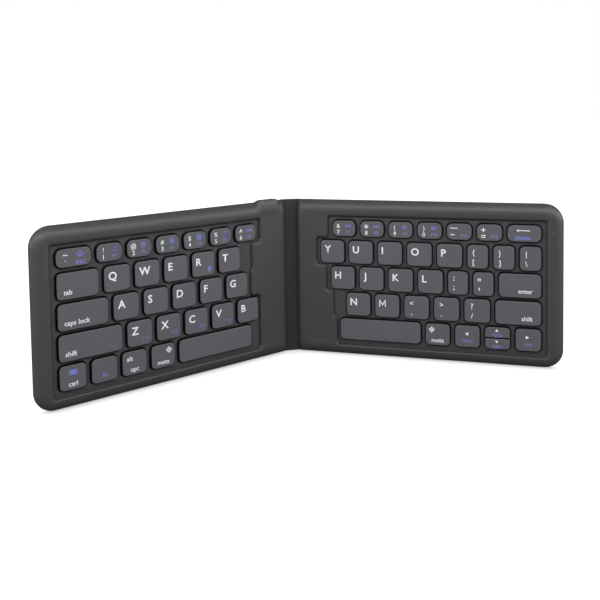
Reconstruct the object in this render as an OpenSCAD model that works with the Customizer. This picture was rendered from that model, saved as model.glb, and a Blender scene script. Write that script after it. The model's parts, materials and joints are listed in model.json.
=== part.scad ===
// Folding pocket keyboard that stands open on the front edges of its two halves.
// +Z is up, the keys face -Y, and the origin is under the middle of the open keyboard.
// Each half is drawn flat in its own frame: x runs outward from the crease, y up from
// the front edge, and z out of the key face with z = 0 in the plane of the crease.

/* [Case] */
// Distance from the case's outer edge to the outer keys
outer_margin = 11.5; // [11:0.1:13]
// Distance from the case's top edge to the digit row
top_margin = 11.5; // [11:0.1:13]
// Distance from the case's front edge to the front row
front_margin = 9; // [8.6:0.1:11]
// Thickness of a half
half_t = 5.6; // [5.5:0.1:5.8]
// Depth of the crease line in front of the back face
crease_depth = 1.2; // [1.1:0.05:1.3]
// Corner radius at the outer edge
outer_corner_r = 10; // [6:0.5:14]
// Radius of the front edges, and of the corners beside the spine
front_edge_r = 2; // [1.6:0.1:2.2]
// Radius of the back edges
back_edge_r = 1; // [0.6:0.1:1.1]
// Thickness of the side walls
wall = 1.6; // [1.2:0.1:1.8]
// Thickness of the back cover
cover_t = 0.8; // [0.6:0.05:0.9]
// Height of the back cover's wall above its floor
cover_wall_h = 0.8; // [0.6:0.1:0.9]
// Drop from the rim to the deck between the keys
rim_drop = 1.6; // [1.4:0.1:1.7]
// Thickness of the key deck
deck_t = 0.7; // [0.6:0.05:0.8]

/* [Fold] */
// Turn of each half forward from flat
half_turn = 26.5; // [5:0.1:60]
// Width of the spine between its two creases
spine_w = 10; // [9.8:0.1:16]
// Thickness of the spine band
band_t = 1.6; // [1.4:0.1:1.8]
// Running gap between the spine band and a half
crease_gap = 0.25; // [0.2:0.05:0.5]
// Height of the flex cable inside the spine
flex_h = 12; // [6:1:20]
// Thickness of the flex cable
flex_t = 0.3; // [0.2:0.05:0.5]

/* [Keys] */
// Width of a letter cap
letter_w = 13.7; // [13:0.1:14]
// Width of a digit cap, and of the small caps in the front row
digit_w = 13.3; // [12.8:0.1:13.6]
// Width of the caps lock cap
caps_lock_w = 25.5; // [23:0.1:30]
// Height of a letter cap
cap_h = 13; // [12:0.1:13.4]
// Height of a digit cap
digit_h = 9; // [8.4:0.1:9.4]
// Height of the caps in the front row
front_cap_h = 12.1; // [11.4:0.1:13]
// Space between caps in one row
cap_gap = 2.8; // [2.4:0.1:3.2]
// Space between one row of caps and the next
row_gap = 1.95; // [1.7:0.05:2.4]
// Space between the digit row and the row in front of it
digit_gap = 2.5; // [2:0.1:3]
// Space between the two halves of the split arrow key
arrow_gap = 0.6; // [0.4:0.1:1]
// Width of the bracket and quote caps
narrow_w = 10.8; // [10:0.1:11.6]
// Width of the space bars
space_w = 45.7; // [41:0.1:46.5]
// Corner radius of a letter cap
cap_r = 2.3; // [1:0.1:3]
// Corner radius of a digit cap
digit_r = 3; // [1:0.1:3.6]
// Drop from the rim to the key tops
cap_drop = 0.4; // [0.1:0.1:0.6]
// Whole height of a cap, with its skirt
cap_t = 1.9; // [1.7:0.1:2]
// Thickness of a cap's top
cap_roof = 0.8; // [0.6:0.1:0.9]
// Thickness of a cap's skirt
skirt_t = 1; // [0.8:0.1:1.2]
// Sloped edge around a cap's top
cap_edge = 0.5; // [0.2:0.1:0.8]
// Running gap between a cap and its well
well_gap = 0.3; // [0.2:0.05:0.4]

/* [Layout] */
// Width of the deck that shows outside the outer keys
deck_border = 2.8; // [2:0.1:3.4]
// Width of the deck that shows above and below the keys
deck_edge = 2.3; // [1.6:0.1:3]
// Centre of the innermost digit key
digit_first = 27.8; // [27.4:0.1:28.6]
// Centres of the innermost letter keys on the left half, from the second row down
left_first = [38.6, 34.1, 27.1];
// Centres of the innermost letter keys on the right half, from the second row down
right_first = [20.9, 26.9, 35.7];
// Deck that shows inside the innermost keys on the left half, row by row
left_inner_deck = [3.1, 8.4, 2.8, 0.6, 5.5];
// Deck that shows inside the innermost keys on the right half, row by row
right_inner_deck = [2.7, 2.5, 2.8, 7.5, 1.9];

/* [Inside] */
// Thickness of the steel plate under the keys
plate_t = 0.3; // [0.2:0.05:0.4]
// Thickness of the rubber dome sheet
sheet_t = 0.25; // [0.2:0.05:0.3]
// Height of a dome, drawn pressed
dome_h = 1.1; // [0.9:0.1:1.3]
// Thickness of the scissor links, drawn folded flat
link_t = 0.5; // [0.4:0.05:0.6]
// Width of a link's bar
link_bar = 0.8; // [0.6:0.05:0.9]
// Gap between the outer and the inner link
link_gap = 0.3; // [0.2:0.05:0.4]
// Radius of the wires that keep the wide caps level
wire_r = 0.25; // [0.2:0.05:0.3]
// Width of the bay for the board and the battery beside the spine
bay_w = 14.5; // [13:0.1:14.8]
// Length of the battery cell
battery_l = 40; // [30:1:42]
// Thickness of the battery cell
battery_t = 2.3; // [1.8:0.1:2.4]
// Thickness of the main board
board_t = 0.7; // [0.6:0.1:0.8]
// Height of the main board above the back cover
board_lift = 0.3; // [0.2:0.05:0.4]
// Gap between a loose-fitting inner piece and its walls
fit_gap = 0.3; // [0.2:0.05:0.5]
// Diameter of a closing magnet
magnet_d = 4; // [3:0.5:5]
// Radius of a screw's thread
screw_r = 0.7; // [0.5:0.1:0.8]
// Radius of a screw's head
screw_head_r = 1.3; // [1:0.1:1.4]

/* [Socket] */
// Distance from the crease to the middle of the charging socket
socket_s = 12; // [11:0.1:12.6]
// Width of the socket's shell
socket_w = 7.6; // [7:0.1:8]
// Height of the socket's shell
socket_h = 2.5; // [2.2:0.1:2.6]
// Depth of the socket's shell
socket_l = 5.6; // [5:0.1:6.5]
// Thickness of the socket's shell
socket_wall = 0.3; // [0.2:0.05:0.4]
// Rise of the socket's boss above the top edge
boss_rise = 1.2; // [0.8:0.1:2]
// Swelling of the boss over the front face
boss_swell = 0.5; // [0.2:0.1:0.6]
// Case beside the socket, on each side
boss_side = 3.2; // [2.6:0.1:3.6]
// Reach of the boss down the front face
boss_reach = 7; // [6:0.1:8]
// Width of the boss's sloped shoulders
boss_shoulder = 2.2; // [1.6:0.1:2.6]

/* [Light] */
// Distance from the outer edge to the status light
led_inset = 5.7; // [5.2:0.1:6.4]
// Distance from the top edge to the status light
led_drop = 15; // [14:0.5:18]
// Diameter of the status light
led_d = 1.2; // [0.8:0.1:1.6]

/* [Hidden] */
left = -1;
right = 1;
eps = 0.01;
$fn = 64;
cap_arc_steps = 4;
case_grey = "#434345";
deck_grey = "#46464b";
cap_grey = "#57565b";

front_z = half_t - crease_depth;
back_z = -crease_depth;
floor_z = back_z + cover_t;
parting_z = floor_z + cover_wall_h;
deck_top = front_z - rim_drop;
deck_bottom = deck_top - deck_t;
cap_top = front_z - cap_drop;
plate_top = floor_z + plate_t;
sheet_top = plate_top + sheet_t;
inner_s = band_t / 2 + crease_gap;
letter_pitch = letter_w + cap_gap;
digit_pitch = digit_w + cap_gap;
row_pitch = cap_h + row_gap;
letters_in_row = 5;
column_edge = left_first[1] + (letters_in_row - 1) * letter_pitch + letter_w / 2 + cap_gap + caps_lock_w;
half_w = column_edge + outer_margin;
digit_row_top = front_margin + front_cap_h + 3 * row_pitch + digit_gap + digit_h;
half_h = digit_row_top + top_margin;
crease_y = ((half_w - front_edge_r) * sin(half_turn) + (front_z - front_edge_r) * cos(half_turn)
            + front_edge_r - band_t / 2) / 2;

// Rows count from the digit row, 0, to the front row, 4
function row_top(r) = r == 0 ? digit_row_top
    : digit_row_top - digit_h - digit_gap - (r - 1) * row_pitch;
function row_h(r) = r == 0 ? digit_h : r == 4 ? front_cap_h : cap_h;

// A cap is [centre, width, top, height, upper corner radius, lower corner radius]
function cap_at(r, s, w) =
    let (radius = r == 0 ? digit_r : cap_r) [s, w, row_top(r), row_h(r), radius, radius];
function cap_from(r, from, to) = cap_at(r, (from + to) / 2, to - from);
function run(r, first, count, pitch, w) = [for (i = [0 : count - 1]) cap_at(r, first + i * pitch, w)];
function after(caps) = let (c = caps[len(caps) - 1]) c[0] + c[1] / 2 + cap_gap;
function closed(r, caps) = concat(caps, [cap_from(r, after(caps), column_edge)]);

digit_caps = closed(0, run(0, digit_first, 6, digit_pitch, digit_w));
mod_caps = [for (i = [0 : 3]) cap_at(4, column_edge - digit_w / 2 - i * digit_pitch, digit_w)];
space_end = mod_caps[3][0] - digit_w / 2 - cap_gap;
space_cap = cap_from(4, space_end - space_w, space_end);

left_rows = [
    digit_caps,
    closed(1, run(1, left_first[0], letters_in_row, letter_pitch, letter_w)),
    closed(2, run(2, left_first[1], letters_in_row, letter_pitch, letter_w)),
    closed(3, run(3, left_first[2], letters_in_row, letter_pitch, letter_w)),
    [space_cap, mod_caps[3], mod_caps[2], mod_caps[1], mod_caps[0]]
];

right_top_letters = run(1, right_first[0], letters_in_row, letter_pitch, letter_w);
bracket_w = (column_edge - after(right_top_letters) - 2 * cap_gap) / 3;
first_bracket = after(right_top_letters) + bracket_w / 2;
brackets = [for (i = [0 : 2]) cap_at(1, first_bracket + i * (bracket_w + cap_gap), bracket_w)];
right_home_letters = run(2, right_first[1], letters_in_row - 1, letter_pitch, letter_w);
first_home_mark = after(right_home_letters) + narrow_w / 2;
home_marks = [for (i = [0 : 1]) cap_at(2, first_home_mark + i * (narrow_w + cap_gap), narrow_w)];
arrow_h = (front_cap_h - arrow_gap) / 2;
arrow_edge_r = 0.5;
up_cap = [mod_caps[1][0], digit_w, row_top(4), arrow_h, cap_r, arrow_edge_r];
down_cap = [mod_caps[1][0], digit_w, row_top(4) - arrow_h - arrow_gap, arrow_h, arrow_edge_r, cap_r];

right_rows = [
    digit_caps,
    concat(right_top_letters, brackets),
    closed(2, concat(right_home_letters, home_marks)),
    closed(3, run(3, right_first[2], letters_in_row, letter_pitch, letter_w)),
    [space_cap, mod_caps[3], mod_caps[2], up_cap, down_cap, mod_caps[0]]
];

// A key node is [name, side, caps]; neighbours that share a node move together
LEFT_KEYS = [
    ["keys_6_t", [left_rows[0][0], left_rows[1][0]]],
    ["keys_5_4", [left_rows[0][1], left_rows[0][2]]],
    ["keys_3_2", [left_rows[0][3], left_rows[0][4]]],
    ["keys_1_tilde", [left_rows[0][5], left_rows[0][6]]],
    ["keys_r_e", [left_rows[1][1], left_rows[1][2]]],
    ["keys_w_q", [left_rows[1][3], left_rows[1][4]]],
    ["key_tab", [left_rows[1][5]]],
    ["keys_g_b", [left_rows[2][0], left_rows[3][0]]],
    ["keys_f_d", [left_rows[2][1], left_rows[2][2]]],
    ["keys_s_a", [left_rows[2][3], left_rows[2][4]]],
    ["key_caps_lock", [left_rows[2][5]]],
    ["keys_v_c", [left_rows[3][1], left_rows[3][2]]],
    ["keys_x_z", [left_rows[3][3], left_rows[3][4]]],
    ["key_shift_left", [left_rows[3][5]]],
    ["key_space_left", [left_rows[4][0]]],
    ["keys_meta_alt", [left_rows[4][1], left_rows[4][2]]],
    ["keys_fn_ctrl", [left_rows[4][3], left_rows[4][4]]]
];
RIGHT_KEYS = [
    ["keys_7_8", [right_rows[0][0], right_rows[0][1]]],
    ["keys_9_0", [right_rows[0][2], right_rows[0][3]]],
    ["keys_minus_equals", [right_rows[0][4], right_rows[0][5]]],
    ["key_delete", [right_rows[0][6]]],
    ["keys_y_u", [right_rows[1][0], right_rows[1][1]]],
    ["keys_i_o", [right_rows[1][2], right_rows[1][3]]],
    ["keys_p_bracket", [right_rows[1][4], right_rows[1][5]]],
    ["keys_bracket_slash", [right_rows[1][6], right_rows[1][7]]],
    ["keys_h_j", [right_rows[2][0], right_rows[2][1]]],
    ["keys_k_l", [right_rows[2][2], right_rows[2][3]]],
    ["keys_colon_quote", [right_rows[2][4], right_rows[2][5]]],
    ["key_enter", [right_rows[2][6]]],
    ["keys_n_m", [right_rows[3][0], right_rows[3][1]]],
    ["keys_comma_dot", [right_rows[3][2], right_rows[3][3]]],
    ["key_question", [right_rows[3][4]]],
    ["key_shift_right", [right_rows[3][5]]],
    ["key_space_right", [right_rows[4][0]]],
    ["keys_meta_back", [right_rows[4][1], right_rows[4][2]]],
    ["key_up", [right_rows[4][3]]],
    ["key_down", [right_rows[4][4]]],
    ["key_forward", [right_rows[4][5]]]
];

function rows_of(side) = side == left ? left_rows : right_rows;
function caps_of(side) = [for (row = rows_of(side)) for (c = row) c];
function inner_deck_of(side) = side == left ? left_inner_deck : right_inner_deck;

// Points of an arc around a centre
function arc(centre, r, from, to, steps) =
    [for (i = [0 : steps]) let (t = from + (to - from) * i / steps) centre + r * [cos(t), sin(t)]];

// Points of a rectangle about the origin, with its own radii at the top and at the bottom
function round_rect(w, h, r_top, r_low, steps) = concat(
    arc([w / 2 - r_top, h / 2 - r_top], r_top, 0, 90, steps),
    arc([r_top - w / 2, h / 2 - r_top], r_top, 90, 180, steps),
    arc([r_low - w / 2, r_low - h / 2], r_low, 180, 270, steps),
    arc([w / 2 - r_low, r_low - h / 2], r_low, 270, 360, steps));

// The same outline with each corner replaced by an arc
function unit(v) = v / norm(v);
function corner(p, q, n, r, steps) =
    let (a = unit(p - q), b = unit(n - q), half = acos(max(-1, min(1, a * b))) / 2,
         reach = r / tan(half), centre = q + unit(a + b) * r / sin(half),
         from = atan2((q + a * reach - centre)[1], (q + a * reach - centre)[0]),
         sweep = (180 - 2 * half) * (a[0] * b[1] - a[1] * b[0] > 0 ? -1 : 1))
    arc(centre, r, from, from + sweep, steps);
function filleted(points, r, steps) =
    let (n = len(points))
    [for (i = [0 : n - 1]) each corner(points[(i + n - 1) % n], points[i], points[(i + 1) % n], r, steps)];

// Edge of the sunken key field: straight outside, stepped with the rows beside the spine
field_slant = 1.2;
field_fillet = 1.1;
function row_split(r) = r == 0 ? digit_row_top + deck_edge
    : r == 5 ? row_top(4) - front_cap_h - deck_edge
    : (row_top(r) + row_top(r - 1) - row_h(r - 1)) / 2;
function first_edge(side, r) = let (c = rows_of(side)[r][0]) c[0] - c[1] / 2;
function field_points(side) = concat(
    [[column_edge + deck_border, row_split(5)], [column_edge + deck_border, row_split(0)]],
    [for (r = [0 : 4]) let (s = first_edge(side, r) - inner_deck_of(side)[r])
        each [
            [s, row_split(r) - (r == 0 ? 0 : field_slant)],
            [s, row_split(r + 1) + (r == 4 ? 0 : field_slant)]]]);
function field_outline(side) = filleted(field_points(side), field_fillet, 4);

// Puts a half drawn flat into its place beside the spine
module on_half(side) {
    mirror([side == left ? 1 : 0, 0, 0])
        translate([spine_w / 2, crease_y, 0])
            rotate([0, 0, -half_turn])
                rotate([90, 0, 0])
                    children();
}

// Outline of a half, drawn in by inset on every side
module half_outline(inset) {
    x0 = inner_s + inset;
    x1 = half_w - inset;
    y1 = half_h - inset;
    r_in = max(front_edge_r - inset, 0.3);
    r_out = outer_corner_r - inset;
    translate([x0, inset + r_in]) square([x1 - x0 - r_out, y1 - inset - 2 * r_in]);
    translate([x0 + r_in, inset]) square([x1 - x0 - r_in - r_out, y1 - inset]);
    translate([x1 - r_out - eps, inset + r_out]) square([r_out + eps, y1 - inset - 2 * r_out]);
    for (y = [inset + r_in, y1 - r_in]) translate([x0 + r_in, y]) circle(r_in);
    for (y = [inset + r_out, y1 - r_out]) translate([x1 - r_out, y]) circle(r_out);
}

// Quarter-round section of an edge, from its inner corner outwards
module edge_section(r) {
    intersection() {
        circle(r);
        square(r + 1);
    }
}

// Rounded rail around the outline; its section leans out from the inset outline
module edge_ring(r) {
    inner_r = front_edge_r;
    x_mid = [inner_s + inner_r, half_w - outer_corner_r];
    for (y = [0, 1]) {
        translate([x_mid[0], y ? half_h - r : r, 0]) rotate([90, 0, 90])
            linear_extrude(x_mid[1] - x_mid[0]) mirror([y ? 0 : 1, 0]) edge_section(r);
        translate([x_mid[1], y ? half_h - outer_corner_r : outer_corner_r, 0]) rotate([0, 0, y ? 0 : -90])
            rotate_extrude(angle = 90) translate([outer_corner_r - r, 0]) edge_section(r);
        translate([x_mid[0], y ? half_h - inner_r : inner_r, 0]) rotate([0, 0, y ? 90 : 180])
            rotate_extrude(angle = 90) translate([inner_r - r, 0]) edge_section(r);
    }
    translate([half_w - r, half_h - outer_corner_r, 0]) rotate([90, 0, 0])
        linear_extrude(half_h - 2 * outer_corner_r) edge_section(r);
    translate([inner_s + r, half_h - inner_r, 0]) rotate([90, 0, 0])
        linear_extrude(half_h - 2 * inner_r) mirror([1, 0]) edge_section(r);
}

module front_slab() {
    translate([0, 0, parting_z]) linear_extrude(front_z - front_edge_r - parting_z) half_outline(0);
    translate([0, 0, parting_z]) linear_extrude(front_z - parting_z) half_outline(front_edge_r);
    translate([0, 0, front_z - front_edge_r]) edge_ring(front_edge_r);
}

module back_slab() {
    translate([0, 0, back_z + back_edge_r]) linear_extrude(parting_z - back_z - back_edge_r) half_outline(0);
    translate([0, 0, back_z]) linear_extrude(parting_z - back_z) half_outline(back_edge_r);
    translate([0, 0, back_z + back_edge_r]) mirror([0, 0, 1]) edge_ring(back_edge_r);
}

// Screw places: down the middle of the outer rim and along the top and front rims
outer_rim_mid = (outer_margin - deck_border) / 2;
top_rim_mid = (top_margin - deck_edge) / 2;
front_rim_mid = (front_margin - deck_edge) / 2;
screw_places = concat(
    [for (share = [0.14, 0.5, 0.86]) [half_w - outer_rim_mid, half_h * share]],
    [for (share = [0.17, 0.55], v = [front_rim_mid, half_h - top_rim_mid]) [half_w * share, v]]);
magnet_places = [for (share = [0.3, 0.7]) [half_w - wall - fit_gap - magnet_d / 2, half_h * share]];
screw_hole_r = screw_r + 0.05;
led_place = [half_w - led_inset, half_h - led_drop];
led_r = led_d / 2;
led_fit = 0.05;

// Boss of the charging socket: outline seen from the front, section seen from the side
boss_half = socket_w / 2 + boss_side;
boss_foot = half_h - boss_reach;
boss_brow = 0.7 * front_edge_r;
board_z = floor_z + board_lift;
socket_z = board_z + board_t;
socket_back = 0.3;
socket_fit = 0.15;
socket_start = half_h + boss_rise - socket_back - socket_l;
module socket_boss() {
    intersection() {
        linear_extrude(front_z + boss_swell) polygon([
            [socket_s - boss_half + boss_shoulder, boss_foot],
            [socket_s + boss_half - boss_shoulder, boss_foot],
            [socket_s + boss_half, half_h - boss_brow],
            [socket_s + boss_half - boss_shoulder, half_h + boss_rise],
            [socket_s - boss_half + boss_shoulder, half_h + boss_rise],
            [socket_s - boss_half, half_h - boss_brow]]);
        translate([socket_s + boss_half, 0, 0]) rotate([0, -90, 0])
            linear_extrude(2 * boss_half) polygon(concat(
                [[parting_z, boss_foot], [front_z, boss_foot], [front_z + boss_swell, half_h - front_edge_r]],
                arc([front_z + boss_swell - front_edge_r, half_h + boss_rise - front_edge_r],
                    front_edge_r, 10, 90, 8),
                [[parting_z, half_h + boss_rise]]));
    }
}

module front_frame(side) {
    color(case_grey) on_half(side) difference() {
        union() {
            front_slab();
            if (side == left) socket_boss();
        }
        translate([0, 0, parting_z - eps]) linear_extrude(deck_top - parting_z + eps) half_outline(wall);
        translate([0, 0, deck_top - eps]) linear_extrude(rim_drop + 1) polygon(field_outline(side));
        for (p = screw_places)
            translate([p[0], p[1], deck_top - eps]) cylinder(r = screw_hole_r, h = rim_drop / 2);
        if (side == left)
            translate([socket_s - socket_w / 2 - socket_fit, socket_start - fit_gap, parting_z - 1])
                cube([
                    socket_w + 2 * socket_fit,
                    socket_l + 1,
                    socket_z + socket_h + socket_fit - parting_z + 1]);
        if (side == right)
            translate([led_place[0], led_place[1], 0]) cylinder(r = led_r + led_fit, h = front_z + 1);
    }
}

module back_cover(side) {
    color(case_grey) on_half(side) {
        difference() {
            back_slab();
            translate([0, 0, floor_z]) linear_extrude(cover_wall_h + 1) half_outline(wall);
        }
        if (side == left)
            for (p = board_posts)
                translate([p[0], p[1], floor_z - eps]) cylinder(r = post_r, h = board_lift + eps);
    }
}

module key_deck(side) {
    color(deck_grey) on_half(side) difference() {
        translate([0, 0, deck_bottom]) linear_extrude(deck_t) half_outline(wall + fit_gap / 2);
        for (c = caps_of(side)) if (c[3] > arrow_h) well(c);
        if (side == right) well(cap_at(4, up_cap[0], digit_w));
        for (p = screw_places)
            translate([p[0], p[1], deck_bottom - eps]) cylinder(r = screw_hole_r, h = deck_t + 2 * eps);
        if (side == left)
            translate([socket_s - socket_w / 2 - fit_gap, socket_start - fit_gap, deck_bottom - eps])
                cube([socket_w + 2 * fit_gap, socket_l + wall, deck_t + 2 * eps]);
    }
}

module well(c) {
    translate([c[0], c[2] - c[3] / 2, deck_bottom - eps]) linear_extrude(deck_t + 2 * eps)
        polygon(round_rect(
            c[1] + 2 * well_gap, c[3] + 2 * well_gap, c[4] + well_gap, c[5] + well_gap, cap_arc_steps));
}

// Hollow key cap with a sloped edge around its top
module cap(c) {
    translate([c[0], c[2] - c[3] / 2, cap_top - cap_t]) difference() {
        hull() {
            linear_extrude(cap_t - cap_edge) polygon(round_rect(c[1], c[3], c[4], c[5], cap_arc_steps));
            linear_extrude(cap_t) polygon(round_rect(c[1] - 2 * cap_edge, c[3] - 2 * cap_edge,
                max(c[4] - cap_edge, 0.2), max(c[5] - cap_edge, 0.2), cap_arc_steps));
        }
        translate([skirt_t - c[1] / 2, skirt_t - c[3] / 2, -1])
            cube([c[1] - 2 * skirt_t, c[3] - 2 * skirt_t, cap_t - cap_roof + 1]);
    }
}

module key_node(side, caps) {
    color(cap_grey) on_half(side) for (c = caps) cap(c);
}

// Inner edge of the plate and the sheet, clear of the board or the battery
bay_s = inner_s + wall + fit_gap;
bay_edge = bay_s + bay_w + fit_gap;
plate_lap = 2.2;
upper_bay_edge = first_edge(right, 1) - plate_lap;
bay_top = row_split(2);
module plate_outline(side, inset) {
    x0 = bay_edge + inset;
    x1 = half_w - wall - magnet_d - 3 * fit_gap - inset;
    y0 = front_rim_mid + screw_head_r + fit_gap + inset;
    y1 = half_h - top_rim_mid - screw_head_r - fit_gap - inset;
    translate([x0, y0]) square([x1 - x0, y1 - y0]);
    if (side == right)
        translate([upper_bay_edge + inset, bay_top]) square([x1 - upper_bay_edge - inset, y1 - bay_top]);
}

module support_plate(side) {
    color("#a8acb0") on_half(side) translate([0, 0, floor_z]) linear_extrude(plate_t) plate_outline(side, 0);
}

link_w = 9.6;
link_reach = 8.4;
dome_fit = 0.2;
dome_taper = 0.55;
function link_h(c) = min(link_reach, c[3] - 2 * skirt_t);
function has_links(c) = c[3] > arrow_h;
function link_hole(c) = link_h(c) - 4 * link_bar - 2 * link_gap;
function dome_r(c) = has_links(c) ? link_hole(c) / 2 - dome_fit : c[3] / 2 - skirt_t - fit_gap;

module dome_sheet(side) {
    color("#c9cac6") on_half(side) {
        translate([0, 0, plate_top]) linear_extrude(sheet_t) plate_outline(side, fit_gap);
        for (c = caps_of(side)) translate([c[0], c[2] - c[3] / 2, plate_top + eps])
            cylinder(r1 = dome_r(c), r2 = dome_r(c) * dome_taper, h = sheet_t + dome_h);
    }
}

module frame_2d(w, h, bar) {
    difference() {
        square([w, h], center = true);
        square([w - 2 * bar, h - 2 * bar], center = true);
    }
}

// Pair of scissor links around a dome, pivoted at the middle of their sides
module link_pair(c) {
    in_w = link_w - 2 * link_bar - 2 * link_gap;
    in_h = link_h(c) - 2 * link_bar - 2 * link_gap;
    translate([c[0], c[2] - c[3] / 2, sheet_top]) linear_extrude(link_t) {
        frame_2d(link_w, link_h(c), link_bar);
        frame_2d(in_w, in_h, link_bar);
        for (x = [-1, 1])
            translate([x * (in_w + link_gap) / 2, 0]) square([link_gap + link_bar, link_bar], center = true);
    }
}

// Bent wire that keeps a wide cap level
wide_from = 20;
wire_end = 1.5;
module levelling_wire(c) {
    half_l = c[1] / 2 - skirt_t - wire_end;
    y = -c[3] / 2 + skirt_t + 2 * wire_r;
    translate([c[0], c[2] - c[3] / 2, sheet_top + wire_r + eps]) {
        translate([-half_l, y, 0]) rotate([0, 90, 0]) cylinder(r = wire_r, h = 2 * half_l);
        for (x = [-half_l, half_l]) translate([x, y, 0]) {
            sphere(wire_r);
            rotate([-90, 0, 0]) cylinder(r = wire_r, h = c[3] / 2);
        }
    }
}

module scissor_links(side) {
    color("#e4e4de") on_half(side) for (c = caps_of(side)) {
        if (has_links(c)) link_pair(c);
        if (c[1] > wide_from) levelling_wire(c);
    }
}

module magnets(side) {
    color("#b9bbbd") on_half(side) for (p = magnet_places)
        translate([p[0], p[1], floor_z]) cylinder(r = magnet_d / 2, h = deck_bottom - floor_z - fit_gap);
}

screw_head_h = 0.5;
screw_bite = 0.6;
module screws(side) {
    color("#8c8f93") on_half(side)
        for (p = screw_places) translate([p[0], p[1], deck_bottom - screw_head_h]) {
        cylinder(r = screw_head_r, h = screw_head_h);
        cylinder(r = screw_r, h = screw_head_h + deck_t + screw_bite);
    }
}

// Main board along the inner margin of the left half, with its chips and connector
board_start = front_margin;
board_l = half_h - wall - fit_gap - board_start;
board_posts = [for (share = [0.1, 0.5, 0.85]) [bay_s + bay_w / 2, board_start + board_l * share]];
post_r = 1.2;
// A chip is [share of the board's width, share of its length, width, length, thickness]
chips = [[0.42, 0.6, 6, 6, 1], [0.42, 0.76, 5, 4, 0.8], [0.42, 0.4, 3, 3, 0.7]];
connector = [3, flex_h + 2, 0.9];
module main_board() {
    color("#1d5a3a") on_half(left) {
        translate([bay_s, board_start, board_z]) cube([bay_w, board_l, board_t]);
        for (c = chips)
            translate([
                bay_s + bay_w * c[0] - c[2] / 2,
                board_start + board_l * c[1] - c[3] / 2,
                socket_z - eps])
                cube([c[2], c[3], c[4] + eps]);
        translate([bay_s + fit_gap, flex_low - 1, socket_z - eps])
            cube([connector[0], connector[1], connector[2] + eps]);
    }
}

// Shell of the charging socket with its contact tongue
socket_end_t = 1;
module charging_socket() {
    color("#b4b6b8") on_half(left) translate([socket_s - socket_w / 2, socket_start, socket_z]) {
        difference() {
            cube([socket_w, socket_l, socket_h]);
            translate([socket_wall, socket_end_t, socket_wall])
                cube([socket_w - 2 * socket_wall, socket_l, socket_h - 2 * socket_wall]);
        }
        translate([socket_w * 0.2, socket_end_t - eps, socket_h * 0.4])
            cube([socket_w * 0.6, socket_l - 2 * socket_end_t, socket_h * 0.2]);
    }
}

module battery_cell() {
    color("#c3c6c9") on_half(right)
        translate([bay_s, front_margin, floor_z]) cube([bay_w, battery_l, battery_t]);
}

module status_led() {
    color("#d9e6dd") on_half(right)
        translate([led_place[0], led_place[1], deck_top]) cylinder(r = led_r, h = rim_drop);
}

// Height of the flex cable above the front edge, and its clearance in the band
flex_low = 19;
flex_fit = 0.1;

// Elastomer band with a round bead on each crease line and a slot for the flex cable
module spine_band() {
    color("#2f2f31") translate([0, crease_y, 0]) difference() {
        union() {
            translate([-spine_w / 2, -band_t / 2, 0]) cube([spine_w, band_t, half_h]);
            for (x = [-1, 1]) translate([x * spine_w / 2, 0, 0]) cylinder(r = band_t / 2, h = half_h);
        }
        translate([-spine_w, -flex_t / 2 - flex_fit, flex_low - flex_fit])
            cube([2 * spine_w, flex_t + 2 * flex_fit, flex_h + 2 * flex_fit]);
    }
}

module spine_flex_cable() {
    color("#b5762a")
        translate([-spine_w / 2, crease_y - flex_t / 2, flex_low]) cube([spine_w, flex_t, flex_h]);
}

spine_band();
spine_flex_cable();
front_frame(left);  // left_front_frame
key_deck(left);  // left_key_deck
scissor_links(left);  // left_scissor_links
dome_sheet(left);  // left_dome_sheet
support_plate(left);  // left_support_plate
back_cover(left);  // left_back_cover
magnets(left);  // left_magnets
screws(left);  // left_screws
main_board();
charging_socket();
front_frame(right);  // right_front_frame
key_deck(right);  // right_key_deck
scissor_links(right);  // right_scissor_links
dome_sheet(right);  // right_dome_sheet
support_plate(right);  // right_support_plate
back_cover(right);  // right_back_cover
magnets(right);  // right_magnets
screws(right);  // right_screws
battery_cell();
status_led();
for (k = LEFT_KEYS) key_node(left, k[1]);
for (k = RIGHT_KEYS) key_node(right, k[1]);
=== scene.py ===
# Folding pocket keyboard in two soft-touch halves on a flexible spine.
# Every size in millimetres is a real size. Meshes are drawn flat in each half's own plane:
# x runs from the crease, positive on the right half and negative on the left one,
# y up from the front edge and z out of the key face. The half's matrix then stands them up
# and turns millimetres into the shared frame's metres.
import json
import math
import bpy
import bmesh
import numpy as np
from mathutils import Matrix, Vector
from mathutils.geometry import delaunay_2d_cdt


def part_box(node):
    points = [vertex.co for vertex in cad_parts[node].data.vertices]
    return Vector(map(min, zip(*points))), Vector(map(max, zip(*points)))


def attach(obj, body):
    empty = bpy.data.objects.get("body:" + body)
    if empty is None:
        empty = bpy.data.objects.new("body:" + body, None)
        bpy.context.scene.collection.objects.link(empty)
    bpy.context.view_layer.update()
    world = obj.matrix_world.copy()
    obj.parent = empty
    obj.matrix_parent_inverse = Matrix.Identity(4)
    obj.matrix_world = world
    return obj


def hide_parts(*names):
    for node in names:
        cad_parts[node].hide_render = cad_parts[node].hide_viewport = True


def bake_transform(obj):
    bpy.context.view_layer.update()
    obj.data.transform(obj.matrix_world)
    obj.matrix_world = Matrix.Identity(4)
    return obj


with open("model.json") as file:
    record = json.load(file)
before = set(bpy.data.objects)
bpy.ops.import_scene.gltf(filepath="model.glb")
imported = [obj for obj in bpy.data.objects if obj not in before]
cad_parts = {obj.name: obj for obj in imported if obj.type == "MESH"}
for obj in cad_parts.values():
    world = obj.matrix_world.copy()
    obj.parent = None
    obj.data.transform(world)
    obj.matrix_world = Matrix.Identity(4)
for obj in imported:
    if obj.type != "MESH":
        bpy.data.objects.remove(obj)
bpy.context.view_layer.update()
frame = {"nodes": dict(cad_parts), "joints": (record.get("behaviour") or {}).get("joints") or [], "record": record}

MM = 0.001

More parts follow.
